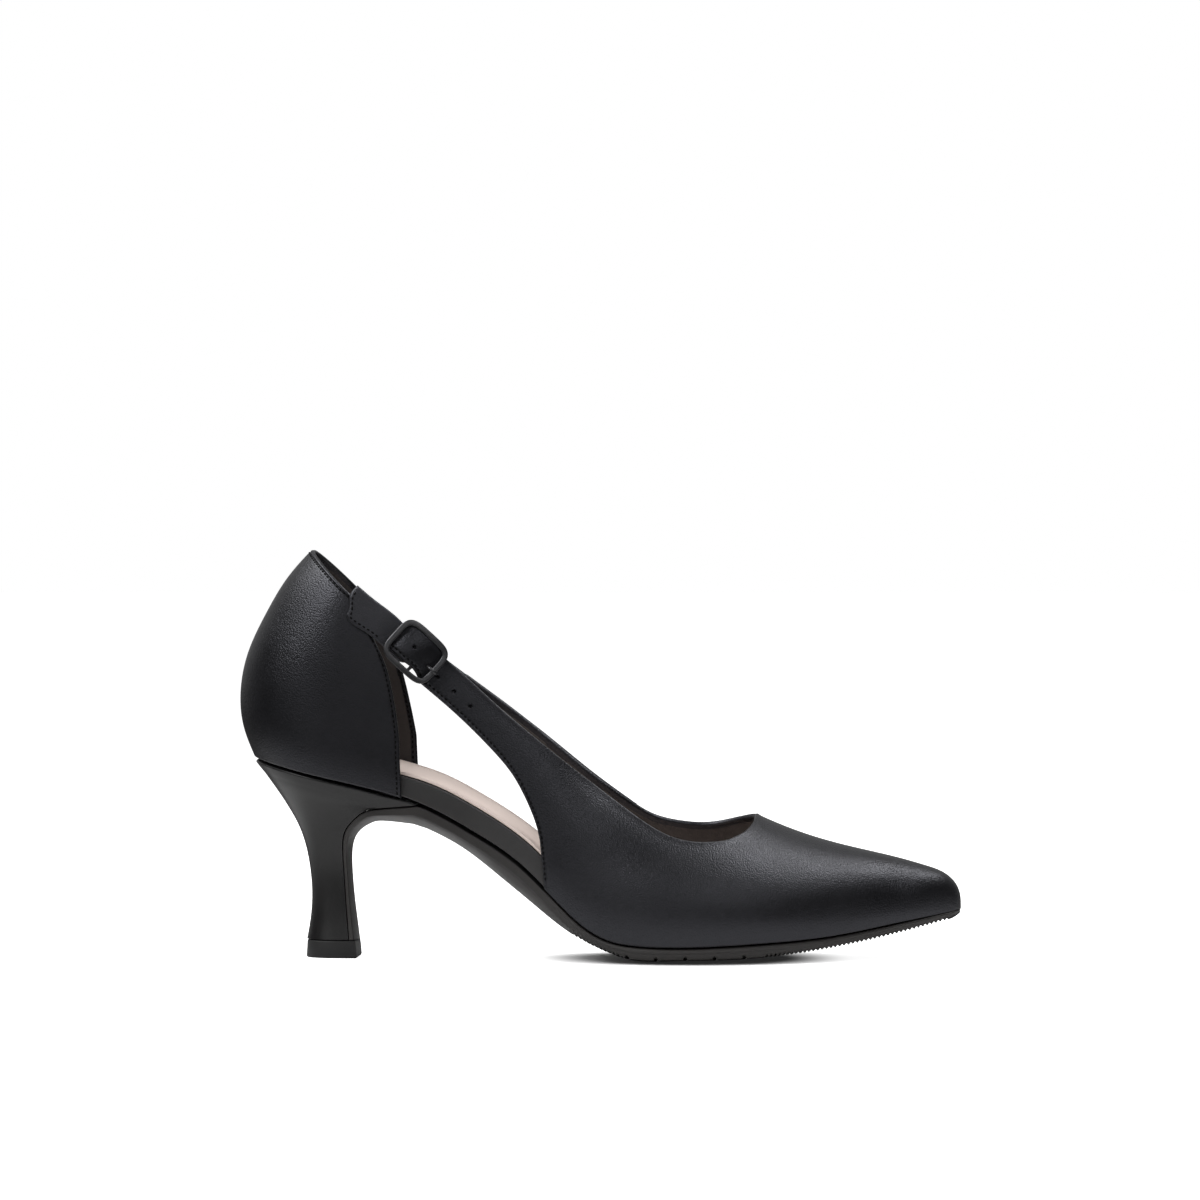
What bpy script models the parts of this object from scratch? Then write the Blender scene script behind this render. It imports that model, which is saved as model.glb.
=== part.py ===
"""A right-foot pointed court shoe on a flared heel, with side cut-outs and a buckled strap on its outer side.

Sizes are in millimetres and become metres when a mesh is made. +X runs to the toe, +Z is up, and the outer
(lateral) side of the foot is at -Y. The shoe stands on Z = 0, and the origin is under the middle of its box.
"""

import math

import bmesh
import bpy
import numpy as np

MM = 0.001

# Driving sizes of a size 37 shoe
SHOE_LENGTH = 244.4
BACK = -SHOE_LENGTH / 2
TOE = SHOE_LENGTH / 2
WALL = 1.6
BOARD_HEEL = 7.2
BOARD_FOREPART = 4.0
SOCK_THICKNESS = 1.8
TOP_PIECE_HEIGHT = 6.0

# Room left between pieces that meet, and along the sloping seat
GAP = 0.3
SEAT_GAP = 0.4

# Rounding of the last: lengths over which its ends close, the powers of those ends, and how far forward
# the lean of the back reaches
HEEL_ROUND = 34.0
TOE_ROUND = 18.0
NOSE_LENGTH = 11.0
HEEL_POWER = 2.2
NOSE_POWER = 2.5
LEAN_FADES = 62.0
LOWER_SHARE = 0.25


def columns(names, *rows):
    """A table as a dictionary of its named columns."""
    return {name: np.array(values, float) for name, values in zip(names.split(), zip(*rows))}


# Underside of the upper and of the insole board, seen from the side
SEAT_LINE = columns(
    "x z",
    (-122.2, 69.2), (-95.0, 62.4), (-66.0, 55.1), (-53.0, 49.7), (-40.0, 42.4), (-26.0, 33.0),
    (-14.0, 21.6), (-5.0, 13.2), (4.0, 8.0), (14.0, 6.1), (30.0, 5.7), (55.0, 6.8), (80.0, 9.0),
    (102.0, 13.0), (122.2, 16.9),
)
# How far the back of the heel leans in at a height above the seat
BACK_LEAN = columns(
    "height lean",
    (0.0, 6.0), (8.0, 1.9), (20.0, 0.0), (35.0, 2.6), (50.0, 8.8), (65.0, 16.8), (80.0, 28.2), (130.0, 70.0),
)
# Sections of the last: half widths at the feather edge from the axis, swell above it, height of the fullest
# point and of the closed ridge above the seat, and the power of the arch
LAST = columns(
    "station axis lateral medial swell belly crown power",
    (-122.2, 0.3, 26.0, 26.0, 3.0, 19.0, 100.0, 2.3),
    (-95.0, 0.3, 26.0, 26.0, 3.0, 19.0, 104.0, 2.3),
    (-70.0, 0.3, 26.5, 24.5, 2.3, 17.0, 99.0, 2.3),
    (-45.0, 0.3, 26.5, 20.5, 1.8, 14.0, 87.0, 2.2),
    (-20.0, 0.3, 29.0, 19.5, 1.5, 11.0, 72.0, 1.95),
    (5.0, 1.3, 35.0, 23.5, 1.6, 9.5, 62.0, 1.75),
    (25.0, 2.3, 39.0, 30.0, 1.7, 9.0, 53.0, 1.65),
    (40.0, 2.9, 38.6, 33.4, 1.7, 8.5, 46.9, 1.62),
    (60.0, 3.7, 34.0, 31.6, 1.5, 7.5, 37.7, 1.75),
    (80.0, 4.3, 25.5, 24.5, 1.3, 6.2, 29.4, 2.0),
    (100.0, 4.5, 15.2, 14.3, 1.1, 5.0, 21.0, 2.25),
    (122.2, 4.5, 8.5, 8.0, 0.8, 4.0, 10.8, 2.4),
)


def smooth(table, column, at):
    """A natural cubic spline through one column of a table, straight past its ends."""
    x, y = next(iter(table.values())), table[column]
    at = np.asarray(at, float)
    step = np.diff(x)
    count = len(x)
    system, right = np.eye(count), np.zeros(count)
    for i in range(1, count - 1):
        system[i, i - 1 : i + 2] = step[i - 1], 2 * (step[i - 1] + step[i]), step[i]
        right[i] = 6 * ((y[i + 1] - y[i]) / step[i] - (y[i] - y[i - 1]) / step[i - 1])
    bend = np.linalg.solve(system, right)
    inside = np.clip(at, x[0], x[-1])
    k = np.clip(np.searchsorted(x, inside) - 1, 0, count - 2)
    t = inside - x[k]
    slope = (y[k + 1] - y[k]) / step[k] - step[k] * (2 * bend[k] + bend[k + 1]) / 6
    value = y[k] + slope * t + bend[k] * t**2 / 2 + (bend[k + 1] - bend[k]) * t**3 / (6 * step[k])
    end_slope = slope + bend[k] * t + (bend[k + 1] - bend[k]) * t**2 / (2 * step[k])
    return value + (at - inside) * end_slope


def seat(x):
    return smooth(SEAT_LINE, "z", x)


def lean(height):
    return smooth(BACK_LEAN, "lean", height)


def lean_share(station):
    """1 at the back seam, falling smoothly to 0 where the sections stand upright."""
    t = np.clip((station - BACK) / LEAN_FADES, 0, 1)
    return (1 - t) ** 2 * (1 + 2 * t)


def end_round(station):
    """Rounds the half widths of the last to nothing at the back seam and at the toe."""
    heel = np.clip((station - BACK) / HEEL_ROUND, 0, 1)
    toe = np.clip((station - TOE + TOE_ROUND) / TOE_ROUND, 0, 1)
    return (1 - (1 - heel) ** HEEL_POWER) ** (1 / HEEL_POWER) * np.sqrt(1 - toe**2)


def nose(station):
    """Rounds the heights of the last to nothing at the toe."""
    t = np.clip((station - TOE + NOSE_LENGTH) / NOSE_LENGTH, 0, 1)
    return (1 - t**NOSE_POWER) ** (1 / NOSE_POWER)


def section(station):
    """The columns of the last at a station, rounded off at the heel and the toe."""
    row = {name: smooth(LAST, name, station) for name in LAST if name != "station"}
    narrow, low = end_round(station), nose(station)
    for name in ("lateral", "medial", "swell"):
        row[name] = row[name] * narrow
    for name in ("belly", "crown"):
        row[name] = row[name] * low
    return row


def arch(row, side, q):
    """Height above the seat and half width, for q from 0 at the feather edge to 1 on the ridge."""
    full = row[side] + row["swell"]
    low = np.clip(q / LOWER_SHARE, 0, 1)
    turn = np.clip((q - LOWER_SHARE) / (1 - LOWER_SHARE), 0, 1) * math.pi / 2
    power = 2 / row["power"]
    rise = np.sin(turn) ** power
    height = row["belly"] * low + (row["crown"] - row["belly"]) * rise
    width = full * np.cos(turn) ** power - row["swell"] * (1 - low) ** 2
    return height, width


def last_point(station, side, q):
    """A point of the last's outer face."""
    row = section(station)
    height, width = arch(row, side, q)
    x = station + lean(height) * lean_share(station)
    sign = -1 if side == "lateral" else 1
    return np.stack([x, row["axis"] + sign * width, seat(x) + height], -1)


STATION_PASSES = 12


def half_width(x, z, side):
    """Half width of the last from its axis, and the axis, at a point of the side view."""
    height = z - seat(x)
    station = x
    for _ in range(STATION_PASSES):
        station = np.clip(x - lean(height) * lean_share(station), BACK, TOE)
    row = section(station)
    full = row[side] + row["swell"]
    above = np.clip((height - row["belly"]) / (row["crown"] - row["belly"]), 0, 1)
    below = np.clip((row["belly"] - height) / row["belly"], 0, 1)
    width = full * (1 - above ** row["power"]) ** (1 / row["power"]) - row["swell"] * below**2
    return width, row["axis"]


def end_spaced(low, high, count):
    """Stations that crowd towards both ends."""
    return low + (high - low) * (1 - np.cos(np.linspace(0, math.pi, count))) / 2


# Meshes

MERGE = 0.01 * MM
SHARP = math.radians(35)


def collection_of(name):
    made = bpy.data.collections.new(name)
    bpy.context.scene.collection.children.link(made)
    return made


def mesh_object(name, mesh, collection, is_closed=True):
    """An object from a mesh whose doubles are merged, with its faces turned outwards where it is closed."""
    work = bmesh.new()
    work.from_mesh(mesh)
    bmesh.ops.remove_doubles(work, verts=work.verts, dist=MERGE)
    if is_closed:
        bmesh.ops.recalc_face_normals(work, faces=work.faces)
    work.to_mesh(mesh)
    work.free()
    mesh.shade_smooth()
    mesh.set_sharp_from_angle(angle=SHARP)
    made = bpy.data.objects.new(name, mesh)
    collection.objects.link(made)
    return made


def faced_object(name, points, faces, collection, is_closed=True):
    mesh = bpy.data.meshes.new(name)
    mesh.from_pydata((np.asarray(points) * MM).tolist(), [], faces)
    return mesh_object(name, mesh, collection, is_closed)


def grid_faces(rows, across, ring=False):
    """Quads over rows of points, closed round each row where it is a ring."""
    faces = []
    for i in range(rows - 1):
        for j in range(across if ring else across - 1):
            near, far, beside = i * across, (i + 1) * across, (j + 1) % across
            faces.append((near + j, near + beside, far + beside, far + j))
    return faces


def loft(name, rings, collection):
    """A closed solid through rings with the same count of points, capped at both ends."""
    rings = np.asarray(rings)
    rows, across = rings.shape[:2]
    faces = grid_faces(rows, across, ring=True)
    faces.append(tuple(range(across)))
    faces.append(tuple(range(rows * across - 1, (rows - 1) * across - 1, -1)))
    return faced_object(name, rings.reshape(-1, 3), faces, collection)


def wire(name, points, radius, collection, closed=False):
    """A round wire along points, as a closed mesh."""
    curve = bpy.data.curves.new(name, "CURVE")
    curve.dimensions = "3D"
    curve.bevel_depth = radius * MM
    curve.bevel_resolution = 2
    curve.use_fill_caps = True
    line = curve.splines.new("POLY")
    line.points.add(len(points) - 1)
    line.use_cyclic_u = closed
    for spot, point in zip(line.points, points):
        spot.co = (*(point * MM), 1)
    bent = bpy.data.objects.new(name + "_curve", curve)
    collection.objects.link(bent)
    bpy.context.view_layer.update()
    evaluated = bent.evaluated_get(bpy.context.evaluated_depsgraph_get())
    made = mesh_object(name, bpy.data.meshes.new_from_object(evaluated), collection)
    made.matrix_world = bent.matrix_world
    bpy.data.objects.remove(bent)
    return made


def boolean(target, cutter, operation):
    modifier = target.modifiers.new(operation.lower() + "_" + cutter.name, "BOOLEAN")
    modifier.operation = operation
    modifier.object = cutter
    cutter.hide_render = True
    cutter.display_type = "WIRE"


def prism(name, outlines, depths, collection):
    """A solid through side-view outlines, each of x and z, set at the depths in y."""
    rings = [
        np.column_stack([outline[:, 0], np.full(len(outline), y), outline[:, 1]])
        for outline, y in zip(outlines, depths)
    ]
    return loft(name, rings, collection)


# Edges of the upper, seen from the side

# Collar and throat, from behind the back seam to the peak of the vamp, on each side of the foot
TOPLINE = columns(
    "x lateral medial",
    (-112.0, 152.5, 152.5), (-97.6, 138.6, 138.6), (-90.0, 131.0, 130.5), (-82.0, 123.4, 122.5),
    (-70.0, 114.6, 113.0), (-51.0, 102.5, 98.6), (-34.0, 87.2, 85.8), (-19.0, 74.2, 74.3), (-5.0, 62.9, 63.0),
    (8.0, 53.3, 53.3), (16.0, 47.9, 48.2), (25.0, 42.7, 45.0), (34.0, 40.2, 43.8), (41.0, 40.4, 44.9),
    (47.0, 43.0, 46.8), (51.0, 46.8, 48.4), (52.6, 50.5, 50.5),
)
# Lower edge of the strap and rear edge of the vamp, from the buckle down to the seat
STRAP_EDGE = columns(
    "x z",
    (-58.8, 93.9), (-45.9, 82.8), (-32.6, 69.4), (-25.9, 59.6), (-20.9, 47.2), (-18.6, 36.2), (-17.4, 28.0),
    (-16.6, 14.0),
)
# Front edge of the back quarter on the outer side, from below the seat up under the strap tab
QUARTER_EDGE = columns(
    "z x",
    (40.0, -65.3), (56.0, -65.4), (75.0, -66.0), (88.0, -67.4), (95.0, -68.9), (101.5, -70.9), (108.0, -74.0),
    (120.0, -78.4),
)
MEDIAL_QUARTER_FORWARD = 0.2
MEDIAL_QUARTER_TOP = 99.0

# Reach of the cutting forms past the shoe, and half the width over which the two throat lines blend
CUT_REACH = 70.0
CUT_FLOOR = -20.0
CUT_LID = 260.0
LID_BEHIND = 40.0
THROAT_BLEND = 14.0

# Buckle: its middle, and the run of the strap, in the side view
BUCKLE_X, BUCKLE_Z = -61.5, 104.0
STRAP_FALL = math.radians(41.8)
STRAP_HALF = 5.7

# Loose end of the strap: where it leaves the upper's wall, its half width, thickness, the length of its
# rounded tip, and how far it lifts off the last on its way through the buckle
STRAP_STARTS = 11.0
STRAP_END_HALF = 5.0
STRAP_END_THICK = 1.3
STRAP_TIP = 3.0
STRAP_LIFT = columns(
    "along lift",
    (-10.2, 2.9), (-6.0, 3.0), (0.0, 3.0), (5.0, 2.0), (10.0, 0.6), (16.0, -0.15),
)
PRONG_HOLE_ALONG = 6.4
PRONG_HOLE_RADIUS = 1.4
PRONG_ACROSS = -0.4
PROBE = 0.5


def strap_xz(along, across):
    """Side-view point at a distance along the strap, towards the vamp, and across it, upwards."""
    x = BUCKLE_X + along * math.cos(STRAP_FALL) + across * math.sin(STRAP_FALL)
    z = BUCKLE_Z - along * math.sin(STRAP_FALL) + across * math.cos(STRAP_FALL)
    return x, z


def strap_point(along, across, out):
    """A point over the strap, out from the outer face of the last by a distance."""
    along, across, out = np.broadcast_arrays(*(np.asarray(v, float) for v in (along, across, out)))
    x, z = strap_xz(along, across)
    width, axis = half_width(x, z, "lateral")
    over_x = (half_width(x + PROBE, z, "lateral")[0] - width) / PROBE
    over_z = (half_width(x, z + PROBE, "lateral")[0] - width) / PROBE
    scale = out / np.sqrt(1 + over_x**2 + over_z**2)
    return np.stack([x - over_x * scale, axis - width - scale, z - over_z * scale], -1)


def topline(side):
    x = np.linspace(TOPLINE["x"][0], TOPLINE["x"][-1], 60)
    return np.column_stack([x, smooth(TOPLINE, side, x)])


def opening_outline(side):
    """All that lies above the collar and the throat."""
    edge = topline(side)
    behind = edge[0, 0] - LID_BEHIND
    lid = [(edge[-1, 0], CUT_LID), (behind, CUT_LID), (behind, edge[0, 1] + LID_BEHIND)]
    return np.vstack([edge, lid])


def strap_edge():
    step = np.linspace(0, 1, 26)
    spot = np.linspace(0, 1, len(STRAP_EDGE["x"]))
    table = {"spot": spot, **STRAP_EDGE}
    return np.column_stack([smooth(table, "x", step), smooth(table, "z", step)])


def quarter_edge(top):
    z = np.linspace(QUARTER_EDGE["z"][0], top, 16)
    return np.column_stack([smooth(QUARTER_EDGE, "x", z), z])


def cut_out_outline(side):
    """The gap between the quarter and the vamp, open below. On the outer side it parts the strap too."""
    edge = strap_edge()
    floor = [(edge[-1, 0], CUT_FLOOR), (QUARTER_EDGE["x"][0], CUT_FLOOR)]
    if side == "medial":
        rear = quarter_edge(MEDIAL_QUARTER_TOP) + (MEDIAL_QUARTER_FORWARD, 0)
        return np.vstack([rear, edge, floor])
    rear = quarter_edge(QUARTER_EDGE["z"][-1])
    over = [(rear[-1, 0], CUT_LID), strap_xz(STRAP_STARTS, CUT_REACH)]
    end = strap_xz(STRAP_STARTS, -STRAP_HALF)
    past = edge[edge[:, 0] > end[0] + GAP]
    return np.vstack([rear, over, [end], past, floor])


def strip(name, rows, collection):
    """A strap of leather over the last, through rows of half widths across and of outer and inner points."""
    rings = []
    for low, high, outer, inner in rows:
        across = np.linspace(low, high, 5)
        over = strap_point(outer[0], across, outer[1])
        under = strap_point(inner[0], across[::-1], inner[1])
        rings.append(np.vstack([over, under]))
    return loft(name, rings, collection)


def strap_end(collection):
    """The loose end of the strap, up over the buckle's bar and down under its far side."""
    start, end = STRAP_LIFT["along"][[0, -1]]
    rows = []
    for along in np.linspace(start, end, 15):
        half = STRAP_END_HALF * math.sqrt(min(1.0, (along - start + 1) / (STRAP_TIP + 1)))
        lift = smooth(STRAP_LIFT, "lift", along)
        rows.append((-half, half, (along, lift), (along, lift - STRAP_END_THICK)))
    return strip("strap_end_form", rows, collection)


def prong_hole(collection):
    """The hole in the loose end of the strap that the prong comes up through."""
    out = np.array([-STRAP_END_HALF, STRAP_END_HALF])
    ends = strap_point(np.full(2, PRONG_HOLE_ALONG), np.full(2, PRONG_ACROSS), out)
    return wire("prong_hole_form", ends, PRONG_HOLE_RADIUS, collection)


def upper(parts, helpers):
    """One hollow wall: the last's outer face thickened inwards, open at collar, throat and both cut-outs."""
    rear, front = end_spaced(BACK, 0, 31), end_spaced(52, TOE, 29)
    stations = np.concatenate([rear[rear < -47], np.linspace(-45, 88, 22), front[front > 90]])
    q = np.concatenate([np.linspace(0, LOWER_SHARE, 4)[:-1], np.linspace(LOWER_SHARE, 1, 13)])
    grid_s, grid_q = np.meshgrid(stations, q, indexing="ij")
    lateral = last_point(grid_s, "lateral", grid_q)
    medial = last_point(grid_s, "medial", grid_q)[:, ::-1][:, 1:]
    grid = np.concatenate([lateral, medial], 1)
    faces = [face[::-1] for face in grid_faces(*grid.shape[:2])]
    made = faced_object("upper", grid.reshape(-1, 3), faces, parts, is_closed=False)
    wall = made.modifiers.new("wall", "SOLIDIFY")
    wall.thickness = WALL * MM
    wall.offset = -1
    outer, inner = opening_outline("lateral"), opening_outline("medial")
    depths = (-CUT_REACH, -THROAT_BLEND, THROAT_BLEND, CUT_REACH)
    opening = prism("opening_form", [outer, outer, inner, inner], depths, helpers)
    boolean(made, opening, "DIFFERENCE")
    for side, depths in (("lateral", (-CUT_REACH, 0.0)), ("medial", (0.0, CUT_REACH))):
        outline = cut_out_outline(side)
        boolean(made, prism(side + "_cut_out_form", [outline, outline], depths, helpers), "DIFFERENCE")
    boolean(made, strap_end(helpers), "UNION")
    boolean(made, prong_hole(helpers), "DIFFERENCE")
    return made


# Sole, insole and heel

# Points along the plan outline of the plates and of the other edges, and the points that each plate keeps
PLATE_ROWS = 53
BOARD_SPAN = slice(2, 50)
SOCK_SPAN = slice(3, 47)
EDGE_ROWS = 81
BOARD_THINS_FROM = -25.0
BOARD_THINS_OVER = 50.0


def plan_outline(inset, count=EDGE_ROWS):
    """Lateral and medial feather edges, moved inwards by a distance, as x and y from the back to the toe."""
    station = end_spaced(BACK, TOE, count)
    edges = []
    for side, sign in (("lateral", -1), ("medial", 1)):
        edge = last_point(station, side, np.zeros(count))[:, :2]
        along = np.gradient(edge, axis=0)
        along[0], along[-1] = (0, sign), (0, -sign)
        along /= np.linalg.norm(along, axis=1)[:, None]
        inward = sign * np.column_stack([along[:, 1], -along[:, 0]])
        edges.append(edge + inset * inward)
    return edges


def plate(name, inset, span, bottom, top, collection):
    """A flat piece of a span of the plan outline, between two heights over x."""
    lateral, medial = (edge[span] for edge in plan_outline(inset, PLATE_ROWS))
    share = np.linspace(0, 1, 5)[:, None]
    rings = []
    for outer, inner in zip(lateral, medial):
        plan = outer + (inner - outer) * share
        over = np.column_stack([plan, top(plan[:, 0])])
        under = np.column_stack([plan, bottom(plan[:, 0])])
        rings.append(np.vstack([over, under[::-1]]))
    return loft(name, rings, collection)


def board_top(x):
    """The insole board is thick from the heel to the arch and thins under the ball of the foot."""
    share = np.clip((x - BOARD_THINS_FROM) / BOARD_THINS_OVER, 0, 1)
    share = share * share * (3 - 2 * share)
    return seat(x) + BOARD_HEEL + (BOARD_FOREPART - BOARD_HEEL) * share


def sock_low(x):
    return board_top(x) + GAP


def sock_top(x):
    return sock_low(x) + SOCK_THICKNESS


# The outsole's flap down the breast of the heel: upper and lower line in the side view, half widths,
# share of the thickness left at the rim, and power of the crown
FLAP = columns(
    "level top_x top_z low_x low_z lateral medial rim power",
    (0, -62.5, 53.4, -63.0, 46.2, 24.5, 22.5, 0.35, 2.2),
    (1, -67.0, 50.7, -68.0, 47.0, 24.0, 23.0, 0.7, 2.6),
    (2, -73.5, 49.5, -74.0, 46.7, 22.0, 22.0, 0.8, 3.0),
    (3, -79.0, 47.8, -78.6, 45.3, 18.6, 18.6, 0.85, 3.0),
    (4, -83.0, 45.1, -81.8, 42.7, 14.6, 14.6, 0.85, 3.0),
    (5, -85.6, 41.0, -83.6, 39.3, 11.2, 11.2, 0.85, 3.0),
    (6, -86.6, 35.0, -84.3, 34.5, 8.8, 8.8, 0.85, 3.0),
    (7, -86.6, 27.0, -84.2, 26.8, 7.6, 7.6, 0.85, 3.0),
    (8, -86.2, 17.5, -83.7, 17.3, 7.8, 7.8, 0.85, 3.0),
    (9, -85.5, 6.4, -82.9, 6.4, 9.1, 9.1, 0.85, 3.0),
)
# Lowest line of the sole under the foot, with the share of the thickness left at its rim
SOLE_LOW = columns(
    "x z rim",
    (-58.0, 44.8, 0.3), (-46.0, 38.9, 0.26), (-33.0, 28.8, 0.24), (-20.0, 17.2, 0.3), (-8.0, 7.6, 0.5),
    (2.0, 1.6, 0.62), (12.0, -0.3, 0.68), (26.0, -0.5, 0.7), (40.0, -0.4, 0.7), (54.0, 0.4, 0.72),
    (75.0, 3.4, 0.8), (95.0, 7.3, 0.86), (110.0, 11.1, 0.9), (120.6, 14.0, 0.92),
)
SOLE_INSET = 0.7
SOLE_ACROSS = 7
SOLE_CROWN = 2.6
SOLE_TOE = 120.4


def sole_ring(top, low, lateral, medial, rim, power):
    """A section across the sole: flat above, crowned below, never under the floor."""
    share = np.linspace(-1, 1, SOLE_ACROSS)
    y = np.where(share < 0, share * lateral, share * medial)
    deep = rim + (1 - rim) * (1 - np.abs(share) ** power)
    x_low = top[0] + (low[0] - top[0]) * deep
    z_low = np.maximum(top[1] + (low[1] - top[1]) * deep, 0)
    over = np.column_stack([np.full(SOLE_ACROSS, top[0]), y, np.full(SOLE_ACROSS, top[1])])
    under = np.column_stack([x_low, y, z_low])
    return np.vstack([over, under[::-1]])


def outsole(parts):
    """One bottom piece from the toe to the heel's top piece, bent down the breast of the heel."""
    lateral, medial = plan_outline(SOLE_INSET)
    toe = SOLE_TOE - np.array([0.0, 1.4, 3.4])
    rings = []
    for x in np.concatenate([toe, np.linspace(SOLE_TOE - 6, SOLE_LOW["x"][0], 37)]):
        outer = -np.interp(x, lateral[:, 0], lateral[:, 1])
        inner = np.interp(x, medial[:, 0], medial[:, 1])
        low, rim = (smooth(SOLE_LOW, name, x) for name in ("z", "rim"))
        rings.append(sole_ring((x, seat(x) - SEAT_GAP), (x, low), outer, inner, rim, SOLE_CROWN))
    for level in np.linspace(0, FLAP["level"][-1], 25):
        row = {name: float(smooth(FLAP, name, level)) for name in FLAP}
        top, low = (row["top_x"], row["top_z"]), (row["low_x"], row["low_z"])
        rings.append(sole_ring(top, low, row["lateral"], row["medial"], row["rim"], row["power"]))
    return loft("outsole", rings, parts)


# Levels of the heel block: back and front point in the side view, half width, and share of the length that
# the round back takes
HEEL = columns(
    "level back_x back_z front_x front_z half round",
    (0, -115.7, 67.0, -62.6, 53.9, 25.0, 0.62),
    (1, -113.2, 62.8, -72.8, 50.2, 22.0, 0.64),
    (2, -109.3, 57.2, -79.2, 48.5, 18.4, 0.66),
    (3, -105.2, 50.9, -83.5, 45.6, 14.4, 0.7),
    (4, -101.9, 44.4, -86.1, 41.3, 11.0, 0.74),
    (5, -99.4, 36.8, -87.1, 35.3, 8.6, 0.78),
    (6, -97.9, 28.4, -87.1, 27.6, 7.4, 0.8),
    (7, -97.5, 20.2, -86.8, 19.8, 7.4, 0.8),
    (8, -98.1, 12.6, -86.3, 12.4, 8.1, 0.8),
    (9, -99.3, 6.3, -85.8, 6.3, 9.1, 0.8),
)
HEEL_AROUND = 11
HEEL_INSET = 1.0
TOP_PIECE_BACK = -99.2
TOP_PIECE_FRONT = -83.0
TOP_PIECE_HALF = 9.2
TOP_PIECE_SPREAD = 0.4


def heel_ring(row, seat_edges):
    """A level of the heel: round at the back, flat at the breast, never wider than the seat above it."""
    share = 1 - np.cos(np.linspace(0, math.pi / 2, HEEL_AROUND))
    rear = np.clip(share / row["round"], 0, 1)
    width = row["half"] * (1 - (1 - rear) ** HEEL_POWER) ** (1 / HEEL_POWER)
    x = row["back_x"] + (row["front_x"] - row["back_x"]) * share
    z = row["back_z"] + (row["front_z"] - row["back_z"]) * share
    z = z + (seat(x) - SEAT_GAP - z) * max(0.0, 1 - row["level"])
    lateral, medial = (np.interp(x, edge[:, 0], edge[:, 1]) for edge in seat_edges)
    axis = LAST["axis"][0]
    near = np.column_stack([x, np.maximum(axis - width, lateral), z])
    far = np.column_stack([x, np.minimum(axis + width, medial), z])
    return np.vstack([near, far[::-1][:-1]])


def heel(parts):
    """The heel block: a wide seat drawn in to a neck, and flared again to its foot."""
    seat_edges = plan_outline(HEEL_INSET)
    rings = []
    for level in np.linspace(0, HEEL["level"][-1], 22):
        rings.append(heel_ring({name: float(smooth(HEEL, name, level)) for name in HEEL}, seat_edges))
    return loft("heel", rings, parts)


def top_piece(parts):
    """The wearing piece under the heel and under the end of the sole's flap, a little wider at the floor."""
    seat_edges = plan_outline(HEEL_INSET)
    rings = []
    for z, spread in ((0.0, TOP_PIECE_SPREAD), (TOP_PIECE_HEIGHT, 0.0)):
        back, front = TOP_PIECE_BACK - spread, TOP_PIECE_FRONT + spread
        row = {"level": 9, "back_x": back, "front_x": front, "half": TOP_PIECE_HALF + spread, "round": 0.72}
        rings.append(heel_ring({**row, "back_z": z, "front_z": z}, seat_edges))
    return loft("top_piece", rings, parts)


# Strap tab and buckle

# Outline of the tab along and across the strap, and its middle line's distance out from the last, from its
# slanted end on the quarter to the buckle's bar
TAB = columns(
    "along top low out",
    (-29.0, 3.7, 1.6, 0.9), (-26.0, 3.7, -5.6, 0.9), (-22.5, 3.8, -6.2, 0.9), (-17.5, 4.4, -5.6, 0.9),
    (-12.5, 5.1, -5.0, 0.9), (-7.0, 5.0, -4.9, 0.25), (-3.0, 4.9, -4.9, 0.1), (2.6, 4.9, -4.9, 0.1),
)
TAB_THICK = 0.9
TAB_TAIL = 5.0

# Frame of the buckle: half length and half width of its middle line, the power of its cushion shape, the
# wire's radius, and its distance out from the last, higher where it lies over both tab and strap
FRAME_HALF_LONG = 9.1
FRAME_HALF_WIDE = 7.4
FRAME_POWER = 3.4
FRAME_WIRE = 0.75
FRAME_OUT = columns("along out", (-10.0, 4.0), (0.0, 3.5), (10.0, 2.1))

# Middle bar of the frame, bent down under the strap
BAR_ALONG = 2.6
BAR_WIRE = 0.6
BAR = columns(
    "share out",
    (-1.0, 3.3), (-0.93, 1.7), (-0.8, -1.25), (0.0, -1.25), (0.8, -1.25), (0.93, 1.7), (1.0, 3.3),
)
PRONG_WIRE = 0.6
PRONG = columns("along out", (5.4, -1.0), (5.7, 0.2), (6.5, 1.8), (7.4, 3.3), (9.0, 4.0), (10.4, 3.7))


def buckle_tab(parts):
    """The leather tab that carries the buckle, from the quarter to the frame's bar and round it."""
    bar_out = BAR["out"][len(BAR["out"]) // 2]
    radius = TAB["out"][-1] - bar_out
    low, high = TAB["low"][-1], TAB["top"][-1]
    thick = TAB_THICK / 2
    rows = []
    start, slanted = TAB["along"][[0, 2]]
    for along in np.concatenate([np.linspace(start, slanted, 6), np.linspace(slanted + 2, BAR_ALONG - 1, 9)]):
        row = {name: smooth(TAB, name, along) for name in TAB}
        rows.append((row["low"], row["top"], (along, row["out"] + thick), (along, row["out"] - thick)))
    for turn in np.radians(np.linspace(90, -90, 7)):
        c, s = math.cos(turn), math.sin(turn)
        outer, inner = radius + thick, radius - thick
        over = (BAR_ALONG + outer * c, bar_out + outer * s)
        rows.append((low, high, over, (BAR_ALONG + inner * c, bar_out + inner * s)))
    tail, under = BAR_ALONG - TAB_TAIL, bar_out - radius
    rows.append((low, high, (tail, under - thick), (tail, under + thick)))
    return strip("buckle_tab", rows, parts)


def frame_path(turn):
    """Middle line of the buckle's frame: a cushion-shaped ring along and across the strap."""
    c, s = np.cos(turn), np.sin(turn)
    power = 2 / FRAME_POWER
    along = FRAME_HALF_LONG * np.sign(c) * np.abs(c) ** power
    across = FRAME_HALF_WIDE * np.sign(s) * np.abs(s) ** power
    return strap_point(along, across, smooth(FRAME_OUT, "out", along))


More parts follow.
